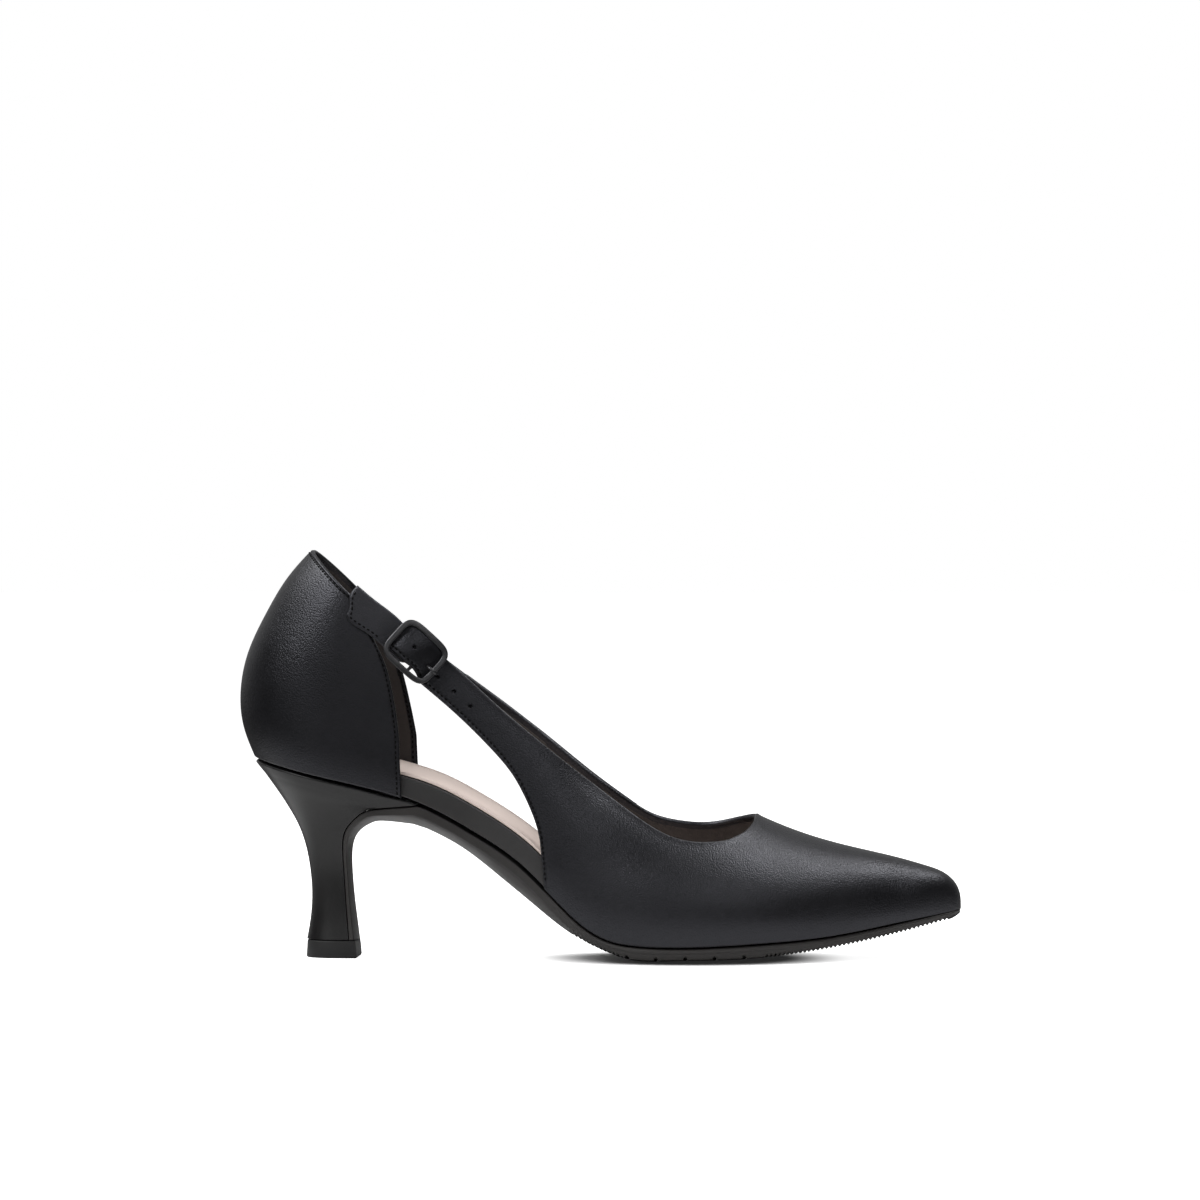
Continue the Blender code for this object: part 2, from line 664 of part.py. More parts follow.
def buckle_frame(parts, helpers):
    """The frame, with its middle bar joined to both long sides."""
    turn = np.linspace(0, math.tau, 40, endpoint=False)
    made = wire("buckle_frame", frame_path(turn), FRAME_WIRE, parts, closed=True)
    path = strap_point(np.full(len(BAR["share"]), BAR_ALONG), BAR["share"] * FRAME_HALF_WIDE, BAR["out"])
    boolean(made, wire("buckle_bar_form", path, BAR_WIRE, helpers), "UNION")
    return made


def buckle_prong(parts):
    """The prong, from beside the bar up through the strap's hole and over the frame on the vamp side."""
    across = np.full(len(PRONG["along"]), PRONG_ACROSS)
    return wire("buckle_prong", strap_point(PRONG["along"], across, PRONG["out"]), PRONG_WIRE, parts)


# Materials


def material(name, colour, roughness, metallic=0.0):
    made = bpy.data.materials.new(name)
    made.use_nodes = True
    shader = made.node_tree.nodes["Principled BSDF"]
    shader.inputs["Base Color"].default_value = (*colour, 1)
    shader.inputs["Roughness"].default_value = roughness
    shader.inputs["Metallic"].default_value = metallic
    return made


def main():
    for old in list(bpy.data.objects):
        bpy.data.objects.remove(old)
    parts = collection_of("court_shoe")
    helpers = collection_of("court_shoe_cutters")
    leather = material("black_leather", (0.012, 0.012, 0.014), 0.45)
    wrap = material("board_wrap", (0.02, 0.02, 0.021), 0.4)
    lining = material("nude_lining", (0.62, 0.45, 0.36), 0.8)
    rubber = material("black_rubber", (0.016, 0.015, 0.015), 0.6)
    metal = material("black_metal", (0.03, 0.03, 0.032), 0.3, 1.0)
    inside = WALL + GAP
    pieces = [
        (upper(parts, helpers), leather),
        (plate("insole_board", inside, BOARD_SPAN, seat, board_top, parts), wrap),
        (plate("sock_lining", inside + 2 * GAP, SOCK_SPAN, sock_low, sock_top, parts), lining),
        (outsole(parts), rubber),
        (heel(parts), leather),
        (top_piece(parts), rubber),
        (buckle_tab(parts), leather),
        (buckle_frame(parts, helpers), metal),
        (buckle_prong(parts), metal),
    ]
    carrier = bpy.data.objects.new("court_shoe_origin", None)
    parts.objects.link(carrier)
    for piece, finish in pieces:
        piece.data.materials.append(finish)
        piece.parent = carrier


main()
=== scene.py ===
"""Looks of a pointed court shoe for the right foot, with open sides, a flared heel and a buckled strap.

Shapes are worked out in millimetres in the frame's own axes: +X to the toe, -Y to the outer side of the foot,
and the floor at Z = 0. They become metres when a mesh is made.
"""

import math

import bmesh
import bpy
import numpy as np
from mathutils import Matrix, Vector


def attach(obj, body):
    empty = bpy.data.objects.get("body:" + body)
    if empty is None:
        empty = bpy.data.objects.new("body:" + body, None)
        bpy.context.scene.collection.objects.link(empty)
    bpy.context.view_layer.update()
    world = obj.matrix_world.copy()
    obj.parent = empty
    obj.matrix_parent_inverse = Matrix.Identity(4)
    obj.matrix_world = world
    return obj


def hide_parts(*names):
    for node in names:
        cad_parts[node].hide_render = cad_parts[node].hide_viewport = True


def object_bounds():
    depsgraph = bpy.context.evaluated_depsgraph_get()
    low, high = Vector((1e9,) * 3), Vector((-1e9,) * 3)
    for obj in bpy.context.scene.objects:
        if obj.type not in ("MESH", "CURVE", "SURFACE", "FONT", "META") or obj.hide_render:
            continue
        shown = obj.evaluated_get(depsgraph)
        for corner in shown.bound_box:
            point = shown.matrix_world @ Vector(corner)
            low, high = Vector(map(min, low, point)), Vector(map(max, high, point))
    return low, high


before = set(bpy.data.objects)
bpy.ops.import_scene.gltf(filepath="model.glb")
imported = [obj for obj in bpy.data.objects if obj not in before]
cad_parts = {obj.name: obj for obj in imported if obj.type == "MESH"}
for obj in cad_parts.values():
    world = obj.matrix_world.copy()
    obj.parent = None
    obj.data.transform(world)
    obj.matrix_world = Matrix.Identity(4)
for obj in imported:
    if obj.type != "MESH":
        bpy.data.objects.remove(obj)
cad_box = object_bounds()

# Insole board. The stiff fibre board that the shoe is built on, from the heel to the ball of the foot. It is
# wrapped in thin black leather, pulled round its edges and glued under, which shows along both open sides.
# Its outline is that of the last, the form on which the whole shoe is shaped.

MM = 0.001
TOE = cad_box[1].x / MM
BACK = -TOE
OUTER, INNER = -1, 1


def columns(names, *rows):
    """A table as a dictionary of its named columns."""
    return {name: np.array(values, float) for name, values in zip(names.split(), zip(*rows))}


def smooth(table, column, at):
    """A natural cubic spline through one column of a table over its first column, straight past its ends."""
    x, y = next(iter(table.values())), table[column]
    at = np.asarray(at, float)
    step = np.diff(x)
    count = len(x)
    middle = np.arange(1, count - 1)
    system, right = np.eye(count), np.zeros(count)
    system[middle, middle - 1] = step[:-1]
    system[middle, middle] = 2 * (step[:-1] + step[1:])
    system[middle, middle + 1] = step[1:]
    right[middle] = 6 * np.diff(np.diff(y) / step)
    bend = np.linalg.solve(system, right)
    inside = np.clip(at, x[0], x[-1])
    k = np.clip(np.searchsorted(x, inside) - 1, 0, count - 2)
    t = inside - x[k]
    slope = (y[k + 1] - y[k]) / step[k] - step[k] * (2 * bend[k] + bend[k + 1]) / 6
    value = y[k] + slope * t + bend[k] * t**2 / 2 + (bend[k + 1] - bend[k]) * t**3 / (6 * step[k])
    end_slope = slope + bend[k] * t + (bend[k + 1] - bend[k]) * t**2 / (2 * step[k])
    return value + (at - inside) * end_slope


def fade(x, low, high):
    """0 below low, 1 above high, and a smooth cubic step between them."""
    t = np.clip((np.asarray(x, float) - low) / (high - low), 0, 1)
    return t * t * (3 - 2 * t)


# Underside of the upper and of the board, seen from the side
SEAT_LINE = columns(
    "x z",
    (-122.2, 69.2), (-95.0, 62.4), (-66.0, 55.1), (-53.0, 49.7), (-40.0, 42.4), (-26.0, 33.0),
    (-14.0, 21.6), (-5.0, 13.2), (4.0, 8.0), (14.0, 6.1), (30.0, 5.7), (55.0, 6.8), (80.0, 9.0),
    (102.0, 13.0), (122.2, 16.9),
)
# How far the back of the heel leans in at a height above the seat, and how far forward that reaches
BACK_LEAN = columns(
    "height lean",
    (0.0, 5.0), (8.0, 1.5), (20.0, 0.0), (35.0, 2.6), (50.0, 8.8), (65.0, 16.8), (80.0, 28.2), (130.0, 70.0),
)
LEAN_FADES = 62.0
# Sections of the last: half widths at the feather edge from the axis, swell above it, height of the fullest
# point and of the closed ridge above the seat, and the power of the arch
LAST = columns(
    "station axis lateral medial swell belly crown power",
    (-122.2, 0.3, 26.0, 26.0, 3.0, 19.0, 100.0, 2.3),
    (-95.0, 0.3, 26.0, 26.0, 3.0, 19.0, 104.0, 2.3),
    (-70.0, 0.3, 26.5, 24.5, 2.3, 17.0, 99.0, 2.3),
    (-45.0, 0.3, 26.5, 20.5, 1.8, 14.0, 87.0, 2.2),
    (-20.0, 0.3, 29.0, 19.5, 1.5, 13.5, 72.0, 1.95),
    (5.0, 1.3, 35.0, 23.5, 1.6, 12.5, 62.0, 1.75),
    (25.0, 2.3, 39.0, 30.0, 1.7, 12.0, 53.0, 1.65),
    (40.0, 2.9, 38.6, 33.4, 1.7, 11.0, 48.1, 1.62),
    (60.0, 3.7, 34.0, 31.6, 1.5, 9.0, 38.7, 1.75),
    (80.0, 4.3, 25.5, 24.5, 1.3, 7.2, 30.1, 2.0),
    (100.0, 4.5, 15.2, 14.3, 1.1, 5.0, 21.8, 2.25),
    (122.2, 4.5, 8.5, 8.0, 0.8, 4.0, 10.9, 2.4),
)
# Lengths over which the ends of the last close, the powers of those ends, and the share of a section's run
# that lies below its fullest point, and over which that point is rounded
HEEL_ROUND, TOE_ROUND, NOSE_LENGTH = 34.0, 18.0, 11.0
HEEL_POWER, NOSE_POWER = 2.2, 3.1
LOWER_SHARE, ROUNDED_SHARE = 0.25, 0.09


def seat(x):
    """Height of the seat line, by its spline."""
    return smooth(SEAT_LINE, "z", x)


def section(station):
    """The columns of the last at a station.

    Widths are rounded to nothing at the heel and the toe on superellipses, heights at the toe only.
    """
    row = {name: smooth(LAST, name, station) for name in LAST if name != "station"}
    heel = np.clip((station - BACK) / HEEL_ROUND, 0, 1)
    toe = np.clip((station - TOE + TOE_ROUND) / TOE_ROUND, 0, 1)
    nose = np.clip((station - TOE + NOSE_LENGTH) / NOSE_LENGTH, 0, 1)
    narrow = (1 - (1 - heel) ** HEEL_POWER) ** (1 / HEEL_POWER) * np.sqrt(1 - toe**2)
    low = (1 - nose**NOSE_POWER) ** (1 / NOSE_POWER)
    for name in ("lateral", "medial", "swell"):
        row[name] = row[name] * narrow
    for name in ("belly", "crown"):
        row[name] = row[name] * low
    return row


def back_shift(station, height):
    """How far a section leans forward at a height: the lean of the back, faded out along the foot."""
    share = 1 - fade(station, BACK, BACK + LEAN_FADES)
    return smooth(BACK_LEAN, "lean", height) * share


def last(station, across):
    """The last's face: across runs from -1 on the outer feather edge over the ridge at 0 to 1 on the inner.

    Below the fullest point the wall draws in on a parabola, and above it the section is a superellipse arch.
    The mean over a short stretch of the section rounds the place where the two meet.
    """
    station, across = np.broadcast_arrays(np.asarray(station, float), np.asarray(across, float))
    row = section(station)
    power = 2 / row["power"]
    full = np.where(across < 0, row["lateral"], row["medial"]) + row["swell"]
    near = np.clip((1 - np.abs(across)) / (2 * LOWER_SHARE), 0, 1)
    stretch = ROUNDED_SHARE * (4 * near * (1 - near)) ** 2
    height, width = np.zeros(across.shape), np.zeros(across.shape)
    steps = np.linspace(-1, 1, 9)
    for step in steps:
        q = 1 - np.abs(across) + step * stretch
        low = np.clip(q / LOWER_SHARE, 0, 1)
        turn = np.clip((q - LOWER_SHARE) / (1 - LOWER_SHARE), 0, 1) * math.pi / 2
        arch = row["belly"] * low + (row["crown"] - row["belly"]) * np.sin(turn) ** power
        reach = full * np.clip(np.cos(turn), 0, 1) ** power - row["swell"] * (1 - low) ** 2
        height += arch / len(steps)
        width += reach / len(steps)
    x = station + back_shift(station, height)
    return np.stack([x, row["axis"] + np.sign(across) * width, seat(x) + height], -1)


def feather(inset, count):
    """Outer and inner feather edges from the back to the toe, as x and y, moved inwards by inset(x)."""
    station = BACK + (TOE - BACK) * (1 - np.cos(np.linspace(0, math.pi, count))) / 2
    edges = []
    for side in (OUTER, INNER):
        edge = last(station, side)[:, :2]
        along = np.gradient(edge, axis=0)
        along[0], along[-1] = (0, side), (0, -side)
        along /= np.linalg.norm(along, axis=1)[:, None]
        edges.append(edge + inset(edge[:, :1]) * side * np.column_stack([along[:, 1], -along[:, 0]]))
    return edges


# Where the quarter ends and where the vamp begins, along the foot
QUARTER_ENDS, VAMP_BEGINS = (-69, -66), (-18, -14)


def open_side(x):
    """1 along the open sides of the shoe, 0 under the quarter and the vamp, with smooth steps between."""
    return fade(x, *QUARTER_ENDS) * (1 - fade(x, *VAMP_BEGINS))


def grid_faces(rows, across, ring=False):
    """Quads over a grid of points numbered row by row. A ring joins the last column to the first."""
    i, j = np.meshgrid(np.arange(rows - 1), np.arange(across if ring else across - 1), indexing="ij")
    near, beside = i * across, (j + 1) % across
    return np.stack([near + j, near + beside, near + across + beside, near + across + j], -1).reshape(-1, 4)


def make(name, points, faces, finishes, index=None, sharp=40):
    """A mesh object from points in millimetres: doubles merged, faces turned outwards, shaded smooth."""
    mesh = bpy.data.meshes.new(name)
    mesh.from_pydata((points.reshape(-1, 3) * MM).tolist(), [], [list(face) for face in faces])
    if index is not None:
        mesh.polygons.foreach_set("material_index", np.asarray(index, np.int32))
    work = bmesh.new()
    work.from_mesh(mesh)
    bmesh.ops.remove_doubles(work, verts=work.verts, dist=0.002 * MM)
    bmesh.ops.dissolve_degenerate(work, edges=work.edges, dist=0.001 * MM)
    bmesh.ops.recalc_face_normals(work, faces=work.faces)
    work.to_mesh(mesh)
    work.free()
    mesh.shade_smooth()
    mesh.set_sharp_from_angle(angle=math.radians(sharp))
    for finish in finishes:
        mesh.materials.append(finish)
    made = bpy.data.objects.new(name, mesh)
    bpy.context.scene.collection.objects.link(made)
    return made


def loft(name, rings, finishes, sharp=40):
    """A closed solid through rings of points, with its two ends capped."""
    rows, across = rings.shape[:2]
    faces = grid_faces(rows, across, ring=True).tolist()
    faces.append(list(range(across)))
    faces.append(list(range((rows - 1) * across, rows * across)))
    return make(name, rings, faces, finishes, sharp=sharp)


def slab(edges, low, top, round_low, round_top):
    """Sections across a plate between two plan edges, from low(x) to top(x), with quarter-round corners."""
    outer, inner = edges
    a = np.linspace(0, math.pi / 2, 6)
    inset = np.concatenate([round_low * (1 - np.sin(a)), round_top * (1 - np.cos(a))])
    rise = np.concatenate([round_low * (1 - np.cos(a)), -round_top * (1 - np.sin(a))])
    is_top = np.repeat([False, True], len(a))
    share = inset / np.linalg.norm(inner - outer, axis=1)[:, None]
    between = np.linspace(0.06, 0.94, 15)
    middle = np.broadcast_to(between, (len(outer), len(between)))
    shares = np.concatenate([share, middle, 1 - share[:, ::-1], middle[:, ::-1]], 1)[..., None]
    zeros, on = np.zeros(len(between)), np.ones(len(between), bool)
    rise = np.concatenate([rise, zeros, rise[::-1], zeros])
    is_top = np.concatenate([is_top, on, is_top[::-1], ~on])
    plan = outer[:, None] * (1 - shares) + inner[:, None] * shares
    x = plan[..., 0]
    return np.concatenate([plan, (np.where(is_top, top(x), low(x)) + rise)[..., None]], -1)


def node(tree, kind, links=(), **settings):
    """A shader node with its settings and socket values, linked from (socket, other node, output) rows."""
    made = tree.nodes.new(kind)
    for name, value in settings.items():
        if name in made.inputs:
            made.inputs[name].default_value = value
        else:
            setattr(made, name, value)
    for socket, other, output in links:
        tree.links.new(other.outputs[output], made.inputs[socket])
    return made


def reckon(tree, operation, other, output, number):
    """A math node that works on another node's output and a number."""
    made = node(tree, "ShaderNodeMath", [(0, other, output)], operation=operation)
    made.inputs[1].default_value = number
    return made


def ramp(tree, other, output, limits, values, course="LINEAR"):
    """A value that goes from the first to the second of two values while another goes between two limits."""
    made = node(tree, "ShaderNodeMapRange", [("Value", other, output)], interpolation_type=course)
    for socket, number in zip(("From Min", "From Max", "To Min", "To Max"), (*limits, *values)):
        made.inputs[socket].default_value = number
    return made


def new_finish(name):
    """A new material, with its nodes, its shader and a node for the object's own coordinates."""
    made = bpy.data.materials.new(name)
    made.use_nodes = True
    tree = made.node_tree
    return made, tree, tree.nodes["Principled BSDF"], node(tree, "ShaderNodeTexCoord")


def grain_group():
    """Leather grain: small rounded cells, bent by noise, and a slow change of tone over the hide.

    The height is a share of a fine noise, less the distance to the middle of the nearest cell.
    """
    tree = bpy.data.node_groups.new("leather_grain", "ShaderNodeTree")
    for name, flow, kind in (
        ("Vector", "INPUT", "Vector"), ("Cells", "INPUT", "Float"),
        ("Height", "OUTPUT", "Float"), ("Tone", "OUTPUT", "Float"),
    ):
        tree.interface.new_socket(name, in_out=flow, socket_type="NodeSocket" + kind)
    start = node(tree, "NodeGroupInput")
    warp = node(tree, "ShaderNodeTexNoise", [("Vector", start, "Vector")], Scale=420.0, Detail=2.0)
    scaled = node(tree, "ShaderNodeVectorMath", [("Vector", warp, "Color")], operation="SCALE", Scale=0.0004)
    bent = node(tree, "ShaderNodeVectorMath", [(0, start, "Vector"), (1, scaled, "Vector")], operation="ADD")
    cells = node(
        tree, "ShaderNodeTexVoronoi", [("Vector", bent, "Vector"), ("Scale", start, "Cells")],
        feature="SMOOTH_F1", Smoothness=0.35,
    )
    fine = node(tree, "ShaderNodeTexNoise", [("Vector", start, "Vector")], Scale=5200.0, Detail=2.0)
    fine = reckon(tree, "MULTIPLY", fine, "Fac", 0.12)
    height = node(tree, "ShaderNodeMath", [(0, fine, "Value"), (1, cells, "Distance")], operation="SUBTRACT")
    slow = node(tree, "ShaderNodeTexNoise", [("Vector", start, "Vector")], Scale=55.0, Detail=4.0)
    node(tree, "NodeGroupOutput", [("Height", height, "Value"), ("Tone", slow, "Fac")])
    return tree


GRAIN = grain_group()


def hide(name, dark, light, cells, depth, smooth_spots, rough_spots, **sockets):
    """A leather: grain bump of a depth in metres, and colour and roughness that change slowly over it."""
    made, tree, shader, place = new_finish(name)
    grain = node(tree, "ShaderNodeGroup", [("Vector", place, "Object")], node_tree=GRAIN, Cells=cells)
    tone = node(tree, "ShaderNodeMix", [("Factor", grain, "Tone")], data_type="RGBA")
    for socket, value in zip([s for s in tone.inputs if s.type == "RGBA"], (dark, light)):
        socket.default_value = (*value, 1)
    colour = [s for s in tone.outputs if s.type == "RGBA"][0]
    tree.links.new(colour, shader.inputs["Base Color"])
    gloss = ramp(tree, grain, "Tone", (0.35, 0.65), (smooth_spots, rough_spots))
    tree.links.new(gloss.outputs["Result"], shader.inputs["Roughness"])
    bump = node(tree, "ShaderNodeBump", [("Height", grain, "Height")], Strength=1.0, Distance=depth)
    tree.links.new(bump.outputs["Normal"], shader.inputs["Normal"])
    for socket, value in sockets.items():
        shader.inputs[socket.replace("_", " ")].default_value = value
    return made


# Thickness of the wrapped board above the seat line: full under the arch, thin under the ball of the foot
BOARD = columns(
    "x thick",
    (-122.2, 7.2), (-90.0, 7.2), (-68.0, 7.6), (-57.0, 8.6), (-40.0, 9.4), (-27.0, 9.7), (-18.0, 10.2),
    (-8.0, 8.6), (6.0, 5.6), (25.0, 4.2), (60.0, 4.0), (122.2, 4.0),
)
# How far the board lies in from the feather edge, how much less along the open sides, and its lift there
BOARD_INSET, BOARD_STANDS_OUT, BOARD_LIFT = 1.9, 0.9, 1.0


def board_low(x):
    """Along the open sides the wrapped edge stands a little above the sole, with a dark groove under it."""
    return seat(x) + BOARD_LIFT * open_side(x)


def board_top(x):
    """The seat line plus the board's thickness."""
    return seat(x) + smooth(BOARD, "thick", x)


def board_inset(x):
    """The board's inset, with its edge further out along the open sides."""
    return BOARD_INSET - BOARD_STANDS_OUT * open_side(x)


board_leather = hide("board_wrap", (0.029, 0.028, 0.028), (0.036, 0.035, 0.035), 2600.0, 0.00002, 0.4, 0.5)
board_edges = [edge[6:-8] for edge in feather(board_inset, 240)]
board = loft("insole_board_wrapped", slab(board_edges, board_low, board_top, 0.5, 0.5), [board_leather])
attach(board, "root")
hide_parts("insole_board")

# Sock lining. The pale nude leather that the foot stands on, cut to the inside of the shoe and glued over the
# board, with a raw edge that shows along the open sides.

SOCK_THICKNESS, SOCK_GAP = 1.3, 0.35
# How far the sock lies in from the feather edge, and how much further along the open sides
SOCK_INSET, SOCK_OPEN_INSET = 0.7, 1.0
# Height of the sock's dome, a sine over its width, and the part of a half turn that the sine goes through
SOCK_DOME, DOME_TURN = 0.6, 0.62


def sock_low(x):
    """The board's top and a thin gap."""
    return board_top(x) + SOCK_GAP


def sock_top(x):
    """The sock's underside plus its thickness."""
    return sock_low(x) + SOCK_THICKNESS


sock_leather = hide("sock_leather", (0.86, 0.72, 0.65), (0.92, 0.78, 0.71), 2200.0, 0.00003, 0.6, 0.7)
sock_edges = [edge[5:-30] for edge in feather(lambda x: SOCK_INSET + SOCK_OPEN_INSET * open_side(x), 240)]
sock_rings = slab(sock_edges, sock_low, sock_top, 0.2, 0.5)
sock_share = (sock_rings[..., 1] - sock_edges[0][:, 1:]) / (sock_edges[1] - sock_edges[0])[:, 1:]
is_face = sock_rings[..., 2] > sock_low(sock_rings[..., 0]) + 0.5
sock_rings[..., 2] += SOCK_DOME * np.sin(np.clip(sock_share, 0, 1) * math.pi * DOME_TURN) * is_face
sock = loft("sock_lining_leather", sock_rings, [sock_leather])
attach(sock, "root")
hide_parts("sock_lining")

# Vamp and strap. One piece of satin black grained leather over the toe, cut in one with the outer strap and
# backed with a dark brown lining. Its edges are folded in and, but for the throat, stitched. The strap has a
# row of punched holes and runs through the buckle, up over its bar and down under its far side.

# Thickness of the upper with its lining
WALL = 1.6
# Collar and throat, from behind the heel to the peak of the vamp, on each side of the foot
TOPLINE = columns(
    "x outer inner",
    (-112.0, 152.5, 152.5), (-97.6, 138.6, 138.6), (-90.0, 131.0, 130.5), (-82.0, 123.4, 122.5),
    (-70.0, 114.6, 113.0), (-51.0, 102.5, 98.6), (-34.0, 87.5, 86.4), (-19.0, 74.7, 74.9), (-5.0, 63.4, 63.6),
    (8.0, 53.6, 53.9), (16.0, 47.9, 48.7), (25.0, 43.0, 46.0), (34.0, 41.0, 45.2), (41.0, 41.1, 46.1),
    (45.0, 41.8, 47.1), (48.5, 43.4, 48.0), (51.0, 45.1, 48.6), (52.6, 47.3, 48.8),
)
# Lower edge of the strap and rear edge of the vamp, from the buckle down past the seat
STRAP_EDGE = columns(
    "spot x z",
    (0, -58.8, 93.9), (1, -45.9, 82.8), (2, -32.6, 69.4), (3, -25.5, 59.6), (4, -20.1, 47.2),
    (5, -18.1, 36.2), (6, -17.4, 28.0), (7, -16.6, 14.0),
)
# The buckle's middle and the run of the strap in the side view, and the strap's end: its two edges and how
# far its face lifts off the last on the way through the buckle
BUCKLE_X, BUCKLE_Z = -61.5, 104.0
STRAP_FALL = math.radians(41.8)
STRAP_END = columns(
    "along top low lift",
    (-8.8, 6.2, -4.4, 2.3), (-8.0, 6.5, -4.4, 2.7), (-6.0, 6.9, -4.3, 3.5), (-3.5, 7.1, -4.2, 4.2),
    (-0.5, 7.1, -4.3, 4.3), (2.5, 7.1, -4.0, 3.7), (5.5, 7.0, -4.4, 2.6), (9.0, 6.3, -5.73, 1.1),
    (12.0, 5.85, -5.7, 0.4), (17.0, 5.85, -5.6, 0.0), (22.0, 5.85, -5.5, 0.0),
)
STRAP_TIP, STRAP_JOINS = -8.8, 8.8
# Where the strap comes to lie on the last, and the curl of its edges towards the last inside the buckle
STRAP_LIES = 17, 22
STRAP_CURL, CURL_AT, CURL_LENGTH = 0.02, -1, 5.5
THROAT_PEAK = 52.7
VAMP_FROM = 8.0
# Shares of the throat whose ribs run to the foot's edge and to the toe's tip, and the length of a unit across
THROAT_SHARE, TIP_SHARE, ACROSS_LENGTH = 0.93, 0.07, 40
# Punched holes: places along and across the strap, their radius and their depth
HOLES = np.array([(-0.6, 1.5), (11.6, -0.3), (19.0, -0.2), (26.4, -0.2)])
HOLE_RADIUS, HOLE_DEPTH = 0.62, 1.15
# How far the strap is padded out along its middle, and the bead of the throat's folded edge
STRAP_CROWN = 0.12
BEAD_HEIGHT, BEAD_WIDTH = 0.28, 1.5
# Paring of the leather: the share taken off at the toe, and the depth taken off at the strap's tip
TOE_PARED, TIP_PARED = 0.6, 0.7
# Distances from an edge at which rows of points follow it, and the place and size of its stitch groove
EDGE_ROWS = np.array([0, 0.05, 0.14, 0.27, 0.43, 0.62, 0.82, 1.02, 1.2, 1.38, 1.56, 1.76, 2.05, 2.5, 3.1])
STITCH_ROW = 9
STITCH_INSET = EDGE_ROWS[STITCH_ROW]
GROOVE_WIDTH, GROOVE_DEPTH = 0.34, 0.3
# Width of the leather folded in round the edges
FOLD = 2.4


def trace(x, z, side):
    """Station and across of the last's face at a point of the side view: the last's formula, solved back."""
    x, z = np.broadcast_arrays(np.asarray(x, float), np.asarray(z, float))
    height = z - seat(x)
    station = x
    for _ in range(25):
        station = np.clip(x - back_shift(station, height), BACK, TOE)
    row = section(station)
    rise = np.clip((height - row["belly"]) / np.maximum(row["crown"] - row["belly"], 0.01), 0, 1)
    turn = np.arcsin(rise ** (row["power"] / 2)) / (math.pi / 2)
    below = np.clip(height / np.maximum(row["belly"], 0.01), 0, 1)
    q = np.where(rise > 0, LOWER_SHARE + (1 - LOWER_SHARE) * turn, LOWER_SHARE * below)
    return np.stack([station, side * (1 - q)], -1)


def skin(station, across):
    """Points of the last and its normals, the cross product of its central differences."""
    reach, turn = 0.05, 0.002
    s = np.clip(station, BACK + 2 * reach, TOE - 4 * reach)
    w = np.clip(across, -1 + turn, 1 - turn)
    along = last(s + reach, w) - last(s - reach, w)
    over = last(s, w + turn) - last(s, w - turn)
    normal = np.cross(along, over)
    normal[..., 1] *= np.clip((station - BACK) / (2 * reach), 0, 1)
    normal /= np.linalg.norm(normal, axis=-1)[..., None]
    return last(station, across), normal


def run_along(path, least=0.0):
    """Distance along a path at each of its points: the running sum of its steps, each lengthened by least."""
    return np.concatenate([[0], np.cumsum(np.linalg.norm(np.diff(path, axis=0), axis=1) + least)])


def spread(path, at):
    """Points of a path of stations and across places at shares of its length on the last."""
    run = run_along(last(path[:, 0], path[:, 1]), 1e-6)
    return np.column_stack([np.interp(at, run / run[-1], column) for column in path.T])


def strap_xz(along, across):
    """Side-view point at a distance along the strap, towards the vamp, and across it, upwards."""
    x = BUCKLE_X + along * math.cos(STRAP_FALL) + across * math.sin(STRAP_FALL)
    z = BUCKLE_Z - along * math.sin(STRAP_FALL) + across * math.cos(STRAP_FALL)
    return x, z


def strap_place(x, z):
    """Along and across of the strap at a side-view point."""
    along = (x - BUCKLE_X) * math.cos(STRAP_FALL) - (z - BUCKLE_Z) * math.sin(STRAP_FALL)
    across = (x - BUCKLE_X) * math.sin(STRAP_FALL) + (z - BUCKLE_Z) * math.cos(STRAP_FALL)
    return along, across


def ribs(inner, outer, rows):
    """Stations and across places on straight ribs between two edges, closely spaced near both edges."""
    share = np.linspace(0, 1, 25)[:, None, None]
    line = inner + (outer - inner) * share
    length = np.linalg.norm(np.diff(last(line[..., 0], line[..., 1]), axis=0), axis=-1).sum(0)[:, None]
    near = EDGE_ROWS / length
    rest = np.linspace(0, 1, rows + 2)[1:-1]
    middle = near[:, -1:] + (1 - 2 * near[:, -1:]) * rest
    t = np.concatenate([near, middle, 1 - near[:, ::-1]], 1)[..., None]
    grid = inner[:, None] + (outer - inner)[:, None] * t
    return grid[..., 0], grid[..., 1]


def leather_sheet(station, across, lift, thick, relief):
    """A sheet on the last: outer points lift out along its normal, inner points a thickness further in.

    Within half a thickness of an edge the two faces come together on a half round. relief gives the height of
    the outer face from the distances to the four edges. Returns both faces, the normals and those distances.
    """
    base, normal = skin(station, across)

    def run(axis):
        """Distances along one way of the grid, the running sum of its steps."""
        step = np.linalg.norm(np.diff(base, axis=axis), axis=-1)
        return np.concatenate([np.zeros_like(step.take([0], axis)), np.cumsum(step, axis)], axis)

    over, along = run(1), run(0)
    edges = np.stack([over, over[:, -1:] - over, along, along[-1:] - along])
    radius = np.broadcast_to(thick, over.shape) / 2
    near = (np.clip(1 - edges / radius, 0, 1) ** 2).sum(0)
    roll = radius * (1 - np.sqrt(1 - np.clip(near, 0, 1)))
    high = lift - roll + relief(edges) * (roll < radius)
    outer = base + high[..., None] * normal
    inside = base + (lift - thick + roll)[..., None] * normal
    return outer, inside, normal, edges


